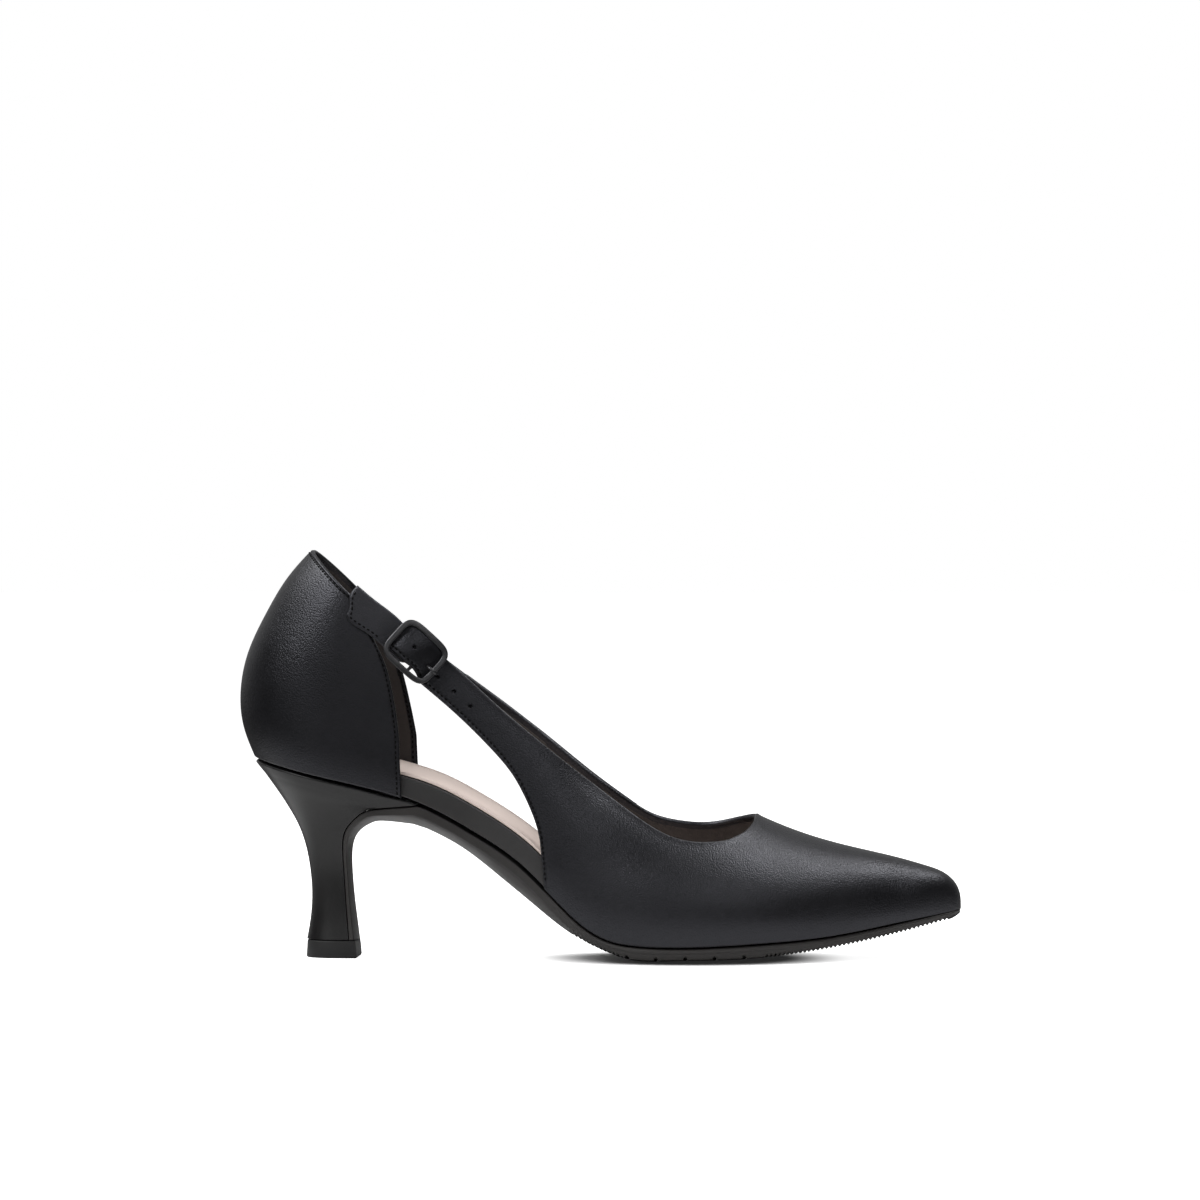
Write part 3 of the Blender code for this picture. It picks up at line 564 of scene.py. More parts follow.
def sheet_piece(name, sheet, finishes):
    """The closed mesh of a leather sheet, faced outside and round its folded edges, and lined inside."""
    outer, inside, _, edges = sheet
    faces = grid_faces(*outer.shape[:2])
    away = edges.min(0)
    away = (away[1:, 1:] + away[:-1, :-1]).ravel() / 2
    index = np.concatenate([np.zeros(len(faces)), np.where(away > FOLD, 1, 0)])
    both = np.concatenate([faces, faces[:, ::-1] + outer[..., 0].size])
    return make(name, np.stack([outer, inside]), both, finishes, index, sharp=60)


def groove(distance):
    """The soft trough that a row of stitches draws into the leather, a bell curve over the distance."""
    return -GROOVE_DEPTH * np.exp(-(((distance - STITCH_INSET) / GROOVE_WIDTH) ** 2))


def side_rows(side, name, first_spot, first_x):
    """Inner and outer edge of one half of the vamp, point by point, and the number of rows along its strap.

    The inner edge follows the strap and the throat to its peak. The outer edge goes down the strap and the
    open side, along the feather edge to the toe, and over the toe's tip, where all ribs meet.
    """
    x = np.linspace(first_x, VAMP_FROM, 80)
    strap_in = trace(x, smooth(TOPLINE, name, x), side)
    spot = np.linspace(first_spot, STRAP_EDGE["spot"][-1], 200)
    edge = np.column_stack([smooth(STRAP_EDGE, "x", spot), smooth(STRAP_EDGE, "z", spot)])
    edge = edge[edge[:, 1] > seat(edge[:, 0])]
    strap_out = np.vstack([trace(edge[:, 0], edge[:, 1], side), [edge[-1, 0], side]])
    x = np.concatenate([np.linspace(VAMP_FROM, 44, 12), [47.0, 49.6, 51.5, 52.3]])
    front = trace(x, smooth(TOPLINE, name, x), side)
    front = np.vstack([front, [THROAT_PEAK, 0], front[::-1][:6] * (1, -1)])
    chord = run_along(front * (1, ACROSS_LENGTH))
    table = {"run": chord, "station": front[:, 0], "across": front[:, 1]}
    t = np.linspace(0, chord[len(x)], 200)
    throat = np.column_stack([smooth(table, "station", t), smooth(table, "across", t)])
    throat[-1] = THROAT_PEAK, 0
    foot = np.column_stack([np.linspace(strap_out[-1, 0], TOE, 300), np.full(300, side)])
    close, close_rows = (0.4, 90) if side == OUTER else (0.2, 20)
    at_strap = np.concatenate([np.linspace(0, close, close_rows, endpoint=False),
                               np.linspace(close, 1, 76, endpoint=False)])
    at_foot = np.linspace(0, 1, 110, endpoint=False)
    at_tip = np.linspace(0, 1, 17)
    at_throat = np.concatenate([at_foot * THROAT_SHARE, THROAT_SHARE + at_tip * TIP_SHARE])
    inner = [spread(strap_in, at_strap), spread(throat, at_throat)]
    tip = np.column_stack([np.full(len(at_tip), TOE), side * (1 - at_tip)])
    outer = [spread(strap_out, at_strap), spread(foot, at_foot), tip]
    return np.vstack(inner), np.vstack(outer), len(at_strap)


def vamp_grid():
    """Rows of the vamp from the strap's tip round the throat to the end of its inner wing."""
    along = np.arange(STRAP_TIP + EDGE_ROWS[-1], STRAP_JOINS - 0.2, 0.3)
    along = np.concatenate([STRAP_TIP + EDGE_ROWS[:-1], along])
    tip_in = trace(*strap_xz(along, smooth(STRAP_END, "top", along)), OUTER)
    tip_out = trace(*strap_xz(along, smooth(STRAP_END, "low", along)), OUTER)
    join_x, _ = strap_xz(STRAP_JOINS, smooth(STRAP_END, "top", STRAP_JOINS))
    near_in, near_out, sewn = side_rows(OUTER, "outer", 0, join_x)
    far_in, far_out, far_sewn = side_rows(INNER, "inner", 0.8, -47.0)
    inner = np.vstack([tip_in, near_in, far_in[-2::-1]])
    outer = np.vstack([tip_out, near_out, far_out[-2::-1]])
    station, across = ribs(inner, outer, 36)
    is_sewn = np.zeros(len(inner), bool)
    is_sewn[: len(along) + sewn] = True
    is_sewn[len(inner) - far_sewn :] = True
    return station, across, is_sewn


vamp_station, vamp_across, vamp_sewn = vamp_grid()
vamp_base = last(vamp_station, vamp_across)
vamp_along, vamp_up = strap_place(vamp_base[..., 0], vamp_base[..., 2])
is_outer = vamp_across < 0
on_strap = is_outer * (1 - fade(vamp_along, *STRAP_LIES))
vamp_lift = smooth(STRAP_END, "lift", np.clip(vamp_along, STRAP_TIP, STRAP_LIES[1])) * on_strap
curl = STRAP_CURL * vamp_up**2 * np.exp(-(((vamp_along - CURL_AT) / CURL_LENGTH) ** 2))
vamp_lift = vamp_lift - curl * on_strap


def vamp_relief(edges):
    """Stitch groove along the strap and the open side, punched holes, the strap's padding, the throat's bead.

    Holes are smooth steps over the distance to their middles, the padding is a parabola over the strap's
    width, and the bead a bell curve over the distance to the throat.
    """
    sewn = groove(edges[1]) * vamp_sewn[:, None]
    off = np.stack([vamp_along, vamp_up], -1)[..., None, :] - HOLES
    hole = 1 - fade(np.linalg.norm(off, axis=-1), HOLE_RADIUS * 0.6, HOLE_RADIUS * 1.15)
    punched = -HOLE_DEPTH * hole.max(-1) * is_outer
    width = edges[0] + edges[1]
    share = edges[0] / width
    padded = STRAP_CROWN * 4 * share * (1 - share) * (1 - fade(width, 14, 45)) * fade(vamp_along, 8, 14)
    bead = BEAD_HEIGHT * np.exp(-((edges[0] / BEAD_WIDTH) ** 2))
    return sewn + punched + padded + bead


# Sheen of the grained leather, a little bluish
SATIN = {"Specular_IOR_Level": 0.47, "Specular_Tint": (0.89, 0.9, 1.0, 1.0)}
upper_leather = hide(
    "upper_leather", (0.006, 0.006, 0.0068), (0.0085, 0.0085, 0.0095), 2100.0, 0.00009, 0.3, 0.37, **SATIN
)
lining = hide("upper_lining", (0.055, 0.048, 0.046), (0.065, 0.057, 0.054), 2600.0, 0.00003, 0.7, 0.85)
vamp_thick = WALL * (1 - TOE_PARED * fade(vamp_station, 100, 120))
vamp_thick = vamp_thick - TIP_PARED * (1 - fade(vamp_along, -9, -4)) * is_outer
vamp_sheet = leather_sheet(vamp_station, vamp_across, vamp_lift, vamp_thick, vamp_relief)
vamp = sheet_piece("vamp_and_strap", vamp_sheet, [upper_leather, lining])
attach(vamp, "root")
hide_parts("upper")

# Back quarter. The heel of the upper: one piece of the same leather round the heel from one open side to the
# other, lined, lasted under at the seat, with a folded and stitched collar and stitched front edges.

# Front edge of the quarter, from below the seat up under the strap
QUARTER_EDGE = columns(
    "z x",
    (40.0, -65.3), (56.0, -65.4), (75.0, -66.0), (88.0, -67.4), (95.0, -68.9), (101.5, -70.9),
    (108.0, -74.0), (120.0, -78.4),
)
# Lengths that space the rows along its edges, and how far its inner front edge stands ahead at the foot
QUARTER_LENGTH, QUARTER_HEIGHT, INNER_AHEAD = 125, 68.0, 1.7


def quarter_grid():
    """Stations and across places from the outer front edge round the back to the inner front edge.

    Each row is drawn from the front edge to the middle of the back by a power that keeps the back evenly
    round, and each point's height is a share of the collar's height there.
    """
    near = EDGE_ROWS / QUARTER_LENGTH
    half = np.concatenate([near, np.linspace(near[-1], 1, 78)[1:]])
    u = np.concatenate([-(1 - half), (1 - half)[::-1][1:]])
    low = EDGE_ROWS / QUARTER_HEIGHT
    v = np.concatenate([low, np.linspace(low[-1], 1 - low[-1], 62)[1:-1], 1 - low[::-1]])
    station = np.zeros((len(u), len(v)))
    across = np.zeros_like(station)
    for side, name in ((OUTER, "outer"), (INNER, "inner")):
        x = np.linspace(-97.9, -60, 240)
        collar = trace(x, smooth(TOPLINE, name, x), side)
        collar = collar[collar[:, 0] > BACK + 0.01]
        z = np.linspace(46, 119.5, 240)
        ahead = INNER_AHEAD * (1 - fade(z, 60, 100)) if side == INNER else 0.0
        front = trace(smooth(QUARTER_EDGE, "x", z) + ahead, z, side)
        top_q = 1 - np.abs(collar[:, 1])
        share = (1 - np.abs(front[:, 1])) / np.interp(front[:, 0], collar[:, 0], top_q)
        use = np.concatenate([[True], np.diff(share) > 0])
        front_station = np.interp(v, share[use], front[use, 0])
        mine = (u <= 0) if side == OUTER else (u > 0)
        s = BACK + (front_station - BACK) * np.abs(u[mine, None]) ** HEEL_POWER
        station[mine] = s
        across[mine] = side * (1 - v * np.interp(s, collar[:, 0], top_q))
    return station, across


def edge_grooves(edges):
    """Stitch grooves along three edges, all but the first."""
    return groove(edges[1]) + groove(edges[2]) + groove(edges[3])


quarter_station, quarter_across = quarter_grid()
quarter_sheet = leather_sheet(quarter_station, quarter_across, 0.0, WALL, edge_grooves)
quarter = sheet_piece("back_quarter", quarter_sheet, [upper_leather, lining])
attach(quarter, "root")
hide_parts("upper")

# Inner strap. A band of the same leather on the inner side, sewn over the quarter behind and over the vamp's
# wing in front, where its end shows at the throat.

INNER_STRAP = columns(
    "x wide lift thick",
    (-84.0, 9.0, 0.6, 0.75), (-72.0, 9.2, 0.6, 0.75), (-62.0, 9.1, 0.25, 1.6), (-50.0, 9.3, 0.2, 1.6),
    (-38.0, 9.3, 0.2, 1.6), (-28.0, 9.0, 0.45, 1.3), (-18.0, 9.3, 0.6, 0.75), (0.0, 8.8, 0.6, 0.75),
    (12.0, 7.6, 0.55, 0.7),
)
# Its two ends along the foot, the slant of the rear one, and how far it hangs below the throat's line
INNER_STRAP_ENDS = -81.0, 11.6
INNER_STRAP_SLANT, INNER_STRAP_BELOW = 3.0, 0.15


def inner_strap_sheet():
    """A band of a given width below the inner throat line and square to it, its rear end slanted."""
    first, end = INNER_STRAP_ENDS
    between = np.linspace(first + EDGE_ROWS[-1], end - EDGE_ROWS[-1], 170)[1:-1]
    x = np.concatenate([first + EDGE_ROWS, between, end - EDGE_ROWS[::-1]])
    z = smooth(TOPLINE, "inner", x)
    slope = np.gradient(z, x)
    fall = np.stack([slope, -np.ones_like(slope)], -1) / np.sqrt(1 + slope**2)[:, None]
    wide = smooth(INNER_STRAP, "wide", x)[:, None]
    near = EDGE_ROWS[:-2]
    middle = near[-1] + (wide - 2 * near[-1]) * np.linspace(0, 1, 14)[1:-1]
    across = np.concatenate([near + np.zeros_like(wide), middle, wide - near[::-1]], 1)
    slant = INNER_STRAP_SLANT * (1 - fade(x, first, first + 14))[:, None] * across / wide
    grid = np.stack([x, z], -1)[:, None] + fall[:, None] * (across + INNER_STRAP_BELOW)[..., None]
    place = trace(grid[..., 0] + slant, grid[..., 1] - slant * 0.9, INNER)
    lift, thick = (smooth(INNER_STRAP, name, x)[:, None] for name in ("lift", "thick"))
    return leather_sheet(place[..., 0], place[..., 1], lift, thick, edge_grooves)


strap_sheet = inner_strap_sheet()
inner_strap = sheet_piece("inner_strap", strap_sheet, [upper_leather, lining])
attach(inner_strap, "root")
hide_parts("upper")

# Buckle tab. A short strap of doubled leather sewn flat on the outer quarter with a slanted end. Its other
# end passes under the buckle's frame and turns round its bar.

# The tab's two edges and how far out its middle lies along its length, and its slanted end over its width
TAB = columns(
    "along top low out",
    (-29.0, 4.4, -5.2, 0.9), (-25.5, 4.5, -6.1, 0.95), (-22.5, 4.6, -6.3, 0.95), (-17.5, 5.0, -5.6, 1.0),
    (-12.5, 5.3, -5.0, 1.0), (-7.0, 5.1, -4.9, 0.3), (-3.0, 4.9, -4.9, 0.1), (-0.8, 4.9, -4.8, 0.1),
    (0.8, 4.9, -3.7, 0.1), (2.6, 4.9, -2.8, 0.1),
)
TAB_END = columns("across along", (-6.3, -24.9), (-3.1, -25.7), (-0.05, -28.3), (3.5, -28.9))
TAB_THICK, TAB_WIDE, TAB_TAIL = 1.45, 10, 5.0
# Share of the tab's length over which the slant of its end fades
TAB_SLANTED = 0.25
BAR_ALONG, BAR_OUT = 2.6, -1.25


def strap_point(along, across, out):
    """A point over the strap, out from the last along its normal, and that normal."""
    x, z = strap_xz(along, across)
    place = trace(x, z, OUTER)
    base, normal = skin(place[..., 0], place[..., 1])
    return base + np.asarray(out)[..., None] * normal, normal


def drawn_in(row):
    """Share of the full thickness at a row from an end: a quarter round over three rows."""
    return np.sqrt(np.clip(1 - (1 - row / 3) ** 2 * (row < 3), 0.02, 1))


def tab_rings():
    """A flat oblong section with round edges, carried along the tab, round the bar and a little way back."""
    half = TAB_THICK / 2
    near = EDGE_ROWS[1:12] / TAB_WIDE
    flat = np.concatenate([[0], near, np.linspace(0.25, 0.75, 12), 1 - near[::-1], [1]])
    edge = np.clip(np.minimum(flat, 1 - flat) * TAB_WIDE / half, 0, 1)
    bulge = half * np.sqrt(1 - (1 - edge) ** 2)
    share = np.concatenate([flat, flat[-2:0:-1]])
    height = np.concatenate([bulge, -bulge[-2:0:-1]])
    lying = np.linspace(0, 1, 90)
    radius = TAB["out"][-1] - BAR_OUT
    turn = np.linspace(math.pi / 2, -math.pi / 2, 14)[1:]
    first, bar = TAB["along"][[0, -1]]
    run = first + (bar - first) * lying
    path = np.column_stack([run, smooth(TAB, "out", run)])
    bend = np.column_stack([BAR_ALONG + radius * np.cos(turn), BAR_OUT + radius * np.sin(turn)])
    back = BAR_ALONG - np.linspace(0, TAB_TAIL, 12)[1:]
    tail = np.column_stack([back, np.full(len(back), BAR_OUT - radius)])
    path = np.vstack([path, bend, tail])
    tangent = np.gradient(path, axis=0)
    tangent /= np.linalg.norm(tangent, axis=1)[:, None]
    at = np.clip(path[:, 0], first, bar)
    at[len(lying):] = bar
    top, low = smooth(TAB, "top", at)[:, None], smooth(TAB, "low", at)[:, None]
    across = low + (top - low) * share
    lying = np.concatenate([lying, np.ones(len(path) - len(lying))])
    slant = np.clip(1 - lying / TAB_SLANTED, 0, 1)[:, None]
    along = path[:, :1] - tangent[:, 1:] * height + slant * (smooth(TAB_END, "along", across) - first)
    out = path[:, 1:] + tangent[:, :1] * height * drawn_in(np.arange(len(path)))[:, None]
    return strap_point(along, across, out)[0]


# The tab is the same leather as the upper, but its colour is about three times lighter: a painted highlight
# for the light it catches.
tab_leather_painted_highlight = hide(
    "tab_leather_painted_highlight", (0.018, 0.018, 0.02), (0.023, 0.023, 0.0255), 2100.0, 0.00009, 0.3, 0.37, **SATIN
)
tab = loft("buckle_tab_leather", tab_rings(), [tab_leather_painted_highlight], sharp=70)
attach(tab, "root")
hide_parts("buckle_tab")

# Stitching. Black waxed thread in lock stitch along the collar, the quarter's front edges, the strap and the
# open sides, the tab and the inner strap, each stitch drawn down into the leather at both ends.

STITCH_PITCH, STITCH_LENGTH, THREAD = 1.75, 1.3, 0.28
# How far the middle of a stitch stands out of the leather, and how much lower its ends are
STITCH_RISE, STITCH_SINK = 0.08, 0.34


def stitches(path, normal):
    """A row of stitches along a path: each a spindle bent on a parabola, its ends sunk below the leather."""
    run = run_along(path)
    at = np.arange(STITCH_PITCH * 0.7, run[-1] - STITCH_PITCH * 0.5, STITCH_PITCH)
    b = np.linspace(-1, 1, 7)
    where = at[:, None] + b * STITCH_LENGTH / 2
    centre, up = (
        np.stack([np.interp(where, run, column) for column in rows.T], -1) for rows in (path, normal)
    )
    ahead = np.gradient(centre, axis=1)
    ahead /= np.linalg.norm(ahead, axis=-1)[..., None]
    side = np.cross(up, ahead)
    a = np.linspace(0, math.tau, 6, endpoint=False)
    thick = THREAD * np.sqrt(np.clip(1 - np.abs(b) ** 5, 0.04, 1))
    rise = STITCH_RISE - STITCH_SINK * b**2
    ring = side[:, :, None] * np.cos(a)[:, None] + up[:, :, None] * np.sin(a)[:, None]
    points = centre[:, :, None] + up[:, :, None] * rise[:, None, None] + ring * thick[:, None, None]
    starts = np.arange(len(points)) * len(b) * len(a)
    faces = grid_faces(len(b), len(a), ring=True) + starts[:, None, None]
    return points.reshape(-1, 3), faces.reshape(-1, 4)


def tab_seam():
    """The seam of the tab: down its slanted end and forward along its lower edge, inset from both."""
    end_inset, low_inset = 1.3, 1.25
    across = np.linspace(2.9, -4.9, 30)
    end = np.column_stack([smooth(TAB_END, "along", across) + end_inset, across])
    along = np.linspace(end[-1, 0] + 0.4, -11.5, 40)
    low = np.column_stack([along, smooth(TAB, "low", along) + low_inset])
    line = np.vstack([end, low])
    return strap_point(line[:, 0], line[:, 1], smooth(TAB, "out", line[:, 0]) + TAB_THICK / 2)


def sewn_rows():
    """Every seam of the upper as a path and its normals: rows of its sheets, some seen on both faces."""
    k = STITCH_ROW
    seams = [(quarter_sheet, 0, np.s_[k:-k, -1 - k])]
    for row in (k, -1 - k):
        seams += [(quarter_sheet, face, np.s_[row, 4 : -4 - k]) for face in (0, 1)]
    strap_sewn, wing_sewn = np.flatnonzero(np.diff(vamp_sewn.astype(int)))
    seams.append((vamp_sheet, 0, np.s_[k:strap_sewn, -1 - k]))
    seams += [(vamp_sheet, face, np.s_[wing_sewn + 1 : -20, -1 - k]) for face in (0, 1)]
    seams.append((strap_sheet, 0, np.s_[k:-k, -1 - k]))
    seams += [(strap_sheet, 0, np.s_[row, 2 : -1 - k]) for row in (k, -1 - k)]
    rows = [(sheet[face][spot], sheet[2][spot] * (1 - 2 * face)) for sheet, face, spot in seams]
    return rows + [tab_seam()]


def joined(parts):
    """Points and faces of several meshes as one."""
    starts = np.cumsum([0] + [len(points) for points, _ in parts])
    faces = np.concatenate([faces + start for (_, faces), start in zip(parts, starts)])
    return np.concatenate([points for points, _ in parts]), faces


thread = hide(
    "waxed_thread", (0.002, 0.002, 0.002), (0.003, 0.003, 0.003), 6000.0, 0.00003, 0.7, 0.8,
    Specular_IOR_Level=0.15,
)
stitching = make("stitching", *joined([stitches(*row) for row in sewn_rows()]), [thread])
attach(stitching, "root")

# Buckle. A cushion-shaped frame of black lacquered metal, cast with round edges, its middle bar bent down
# under the strap, and a prong that turns on the bar, comes up through a hole and rests on the frame.

# The frame's middle line, its shift along and across the strap, its profile, and how far out it lies
FRAME_HALF_LONG, FRAME_HALF_WIDE, FRAME_POWER = 8.8, 6.85, 4.6
FRAME_SHIFT = 0.7, 0.7
FRAME_WIDE, FRAME_DEEP, PROFILE_POWER = 0.98, 0.75, 3.8
FRAME_OUT = columns("along out", (-10.0, 4.0), (0.0, 3.6), (10.0, 2.1))
# Radius of the bar's wire, and the bar's bend over the frame's width
BAR_WIRE = 0.6
BAR = columns(
    "share out",
    (-1.0, 3.2), (-0.93, 1.7), (-0.8, BAR_OUT), (0.0, BAR_OUT), (0.8, BAR_OUT), (0.93, 1.7), (1.0, 3.2),
)
# The prong's place across the strap, its rise along it and its radius
PRONG_ACROSS = -0.2
PRONG = columns(
    "along out wide",
    (4.6, -1.2, 0.62), (5.6, -0.4, 0.62), (6.6, 1.3, 0.62), (7.6, 2.9, 0.62), (8.8, 3.5, 0.6),
    (9.9, 3.4, 0.55), (10.8, 3.1, 0.5),
)


def sweep(path, up, profile, closed=False):
    """A profile of side and height carried along a path, square to it and to its up direction."""
    if closed:
        tangent = np.roll(path, -1, 0) - np.roll(path, 1, 0)
    else:
        tangent = np.gradient(path, axis=0)
    tangent /= np.linalg.norm(tangent, axis=1)[:, None]
    side = np.cross(up, tangent)
    side /= np.linalg.norm(side, axis=1)[:, None]
    rise = np.cross(tangent, side)
    profile = np.broadcast_to(profile, (len(path), *np.shape(profile)[-2:]))
    return path[:, None] + side[:, None] * profile[..., :1] + rise[:, None] * profile[..., 1:]


def cushion(half_wide, half_deep, power, count):
    """A superellipse profile: powers of the cosine and the sine of a turn."""
    turn = np.linspace(0, math.tau, count, endpoint=False)
    c, s = np.cos(turn), np.sin(turn)
    wide = half_wide * np.sign(c) * np.abs(c) ** (2 / power)
    return np.column_stack([wide, half_deep * np.sign(s) * np.abs(s) ** (2 / power)])


def lacquer(name):
    """Black lacquered metal: dark and satin, clouded by fine noise, a little brighter here and there."""
    made, tree, shader, place = new_finish(name)
    cloud = node(tree, "ShaderNodeTexNoise", [("Vector", place, "Object")], Scale=900.0, Detail=3.0)
    tone = node(tree, "ShaderNodeValToRGB", [("Fac", cloud, "Fac")])
    tone.color_ramp.elements[0].color = (0.055, 0.055, 0.058, 1)
    tone.color_ramp.elements[1].color = (0.10, 0.10, 0.105, 1)
    tree.links.new(tone.outputs["Color"], shader.inputs["Base Color"])
    gloss = ramp(tree, cloud, "Fac", (0.0, 1.0), (0.3, 0.42))
    tree.links.new(gloss.outputs["Result"], shader.inputs["Roughness"])
    shader.inputs["Metallic"].default_value = 0.85
    return made


def frame_rings():
    """The frame's middle line is a superellipse along and across the strap, carrying a cushion profile."""
    count = 180
    line = cushion(FRAME_HALF_LONG, FRAME_HALF_WIDE, FRAME_POWER, count) + FRAME_SHIFT
    path, up = strap_point(line[:, 0], line[:, 1], smooth(FRAME_OUT, "out", line[:, 0]))
    looped = np.column_stack([path, up])[np.r_[:count, 0]]
    run = run_along(looped[:, :3])
    even = np.linspace(0, 1, count, endpoint=False)
    spaced = np.column_stack([np.interp(even, run / run[-1], column) for column in looped.T])
    profile = cushion(FRAME_WIDE, FRAME_DEEP, PROFILE_POWER, 32)
    return sweep(spaced[:, :3], spaced[:, 3:], profile, closed=True)


def rod_rings(along, across, out, radius):
    """A round rod through points over the strap, rounded at both ends."""
    path, up = strap_point(along, across, out)
    row = np.arange(len(path))
    thick = np.asarray(radius) * drawn_in(np.minimum(row, row[::-1]))
    return sweep(path, up, cushion(1, 1, 2, 16) * thick[:, None, None])


buckle_metal = lacquer("buckle_lacquer")
rings = frame_rings()
rings = np.concatenate([rings, rings[:1]])
buckle = make("buckle_frame_cast", rings, grid_faces(*rings.shape[:2], ring=True), [buckle_metal])
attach(buckle, "root")
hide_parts("buckle_frame")

share = np.linspace(-1, 1, 60)
bar_across = share * FRAME_HALF_WIDE + FRAME_SHIFT[1]
bar_rings = rod_rings(np.full(60, BAR_ALONG), bar_across, smooth(BAR, "out", share), BAR_WIRE)
bar = loft("buckle_bar", bar_rings, [buckle_metal])
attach(bar, "root")
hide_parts("buckle_frame")

prong_along = np.linspace(PRONG["along"][0], PRONG["along"][-1], 40)
prong_out, prong_wide = (smooth(PRONG, name, prong_along) for name in ("out", "wide"))
prong_rings = rod_rings(prong_along, np.full(40, PRONG_ACROSS), prong_out, prong_wide)
prong = loft("buckle_prong_rod", prong_rings, [buckle_metal])
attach(prong, "root")
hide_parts("buckle_prong")

# Outsole. One moulded bottom of black rubber from the toe to the foot of the heel, bent down its breast. A
# rounded lip runs round its upper edge, and the side draws in below it. The forepart has fine ribs and a few
# deeper cuts across it, and the waist is smooth and crowned.

# The groove over the sole: its depth, its depth along the open sides and at the toe's tip
SOLE_GAP, WAIST_GAP, TOE_GAP = 0.3, 0.45, 0.1
# The sole's foremost point, the length over which its tip thins, and the share by which it does
SOLE_TOE, THIN_LENGTH, THINNED = 121.9, 4, 0.8
# Lowest line of the sole under the foot, with the share of the thickness left at its rim
SOLE_LOW = columns(
    "x z rim",
    (-58.0, 43.9, 0.45), (-46.0, 37.6, 0.42), (-33.0, 27.6, 0.36), (-20.0, 17.0, 0.36), (-8.0, 7.8, 0.5),
    (2.0, 2.9, 0.57), (12.0, -0.3, 0.6), (26.0, -0.5, 0.61), (40.0, -0.4, 0.61), (54.0, 0.4, 0.66),
    (75.0, 3.4, 0.8), (95.0, 7.3, 0.86), (110.0, 11.1, 0.9), (120.6, 14.0, 0.92),
)
# The flap down the breast of the heel: upper and lower line in the side view, half widths, share of the
# thickness left at the rim, and power of the crown
FLAP = columns(
    "level top_x top_z low_x low_z outer inner rim power",
    (0, -60.4, 52.4, -63.0, 45.4, 23.9, 21.7, 0.45, 2.4),
    (1, -72.5, 51.2, -73.2, 46.4, 21.0, 20.4, 0.46, 2.4),
    (2, -78.9, 49.8, -77.8, 45.5, 17.6, 17.6, 0.48, 2.4),
    (3, -83.2, 46.4, -81.3, 43.3, 13.6, 13.6, 0.5, 2.4),
    (4, -86.1, 41.9, -83.6, 39.9, 10.2, 10.2, 0.5, 2.4),
    (5, -86.7, 35.3, -84.4, 34.7, 7.9, 7.9, 0.5, 2.4),
    (6, -86.3, 27.6, -84.1, 27.4, 6.8, 6.8, 0.5, 2.4),
    (7, -85.8, 19.8, -83.4, 19.6, 6.8, 6.8, 0.5, 2.4),
    (8, -85.2, 12.4, -82.5, 12.3, 7.5, 7.5, 0.5, 2.4),
    (9, -84.6, 6.3, -81.8, 6.3, 8.6, 8.6, 0.55, 2.6),
)
# How far the sole lies in from the feather edge, at the sides and the toe, and how much further at the heel
SOLE_INSET, SOLE_INSET_TOE, SOLE_TUCK = 0.7, 0.2, 1.0
# Powers of the crown across the waist and across the tread, and the height at which the tread rests
WAIST_CROWN, TREAD_CROWN, TREAD_REST = 2.6, 1.5, 0.02
RIB_PITCH, RIB_DEPTH = 1.46, 0.75
CUT_PITCH, CUT_FIRST, CUT_DEPTH, CUTS = 9.8, 11.0, 0.8, 5
# Rounding of the plain side wall at the waist, and the share of its depth that it takes
PLAIN_ROUND, PLAIN_SHARE = 0.35, 0.12
# Side wall of the forepart: depth as a share of its height, and how far it stands out from the outline
SIDE = columns(
    "share out",
    (0.0, -0.2), (0.05, 0.15), (0.14, 0.42), (0.26, 0.5), (0.37, 0.4), (0.44, 0.05), (0.5, -0.2),
    (0.58, -0.25), (0.75, -0.45), (0.9, -0.7), (1.0, -1.0),
)


def sole_gap(x):
    """Depth of the groove over the sole: deep along the open sides, closing at the toe's tip."""
    return SOLE_GAP + (WAIST_GAP - SOLE_GAP) * open_side(x) - (SOLE_GAP - TOE_GAP) * fade(x, 100, 119)


def sole_inset(x):
    """Inset from the feather edge: smaller towards the toe, larger where the sole tucks in to the heel."""
    side = SOLE_INSET + (SOLE_INSET_TOE - SOLE_INSET) * fade(x, 95, 118)
    return side + SOLE_TUCK - SOLE_TUCK * fade(x, -58, -42)


def tread(x):
    """Height of the tread's hollows: ribs, powers of a sine, before and behind the ball; cuts under it."""
    zone = fade(x, -9, -7) * (1 - fade(x, 9, 10)) + fade(x, 56, 58) * (1 - fade(x, 117, 118.5))
    ribs_height = RIB_DEPTH * np.abs(np.sin(math.pi * x / RIB_PITCH)) ** 1.5
    centres = CUT_FIRST + CUT_PITCH * np.arange(CUTS)
    nearest = np.abs(x[..., None] - centres).min(-1)
    return ribs_height * zone + CUT_DEPTH * (1 - fade(nearest, 0.35, 0.75))


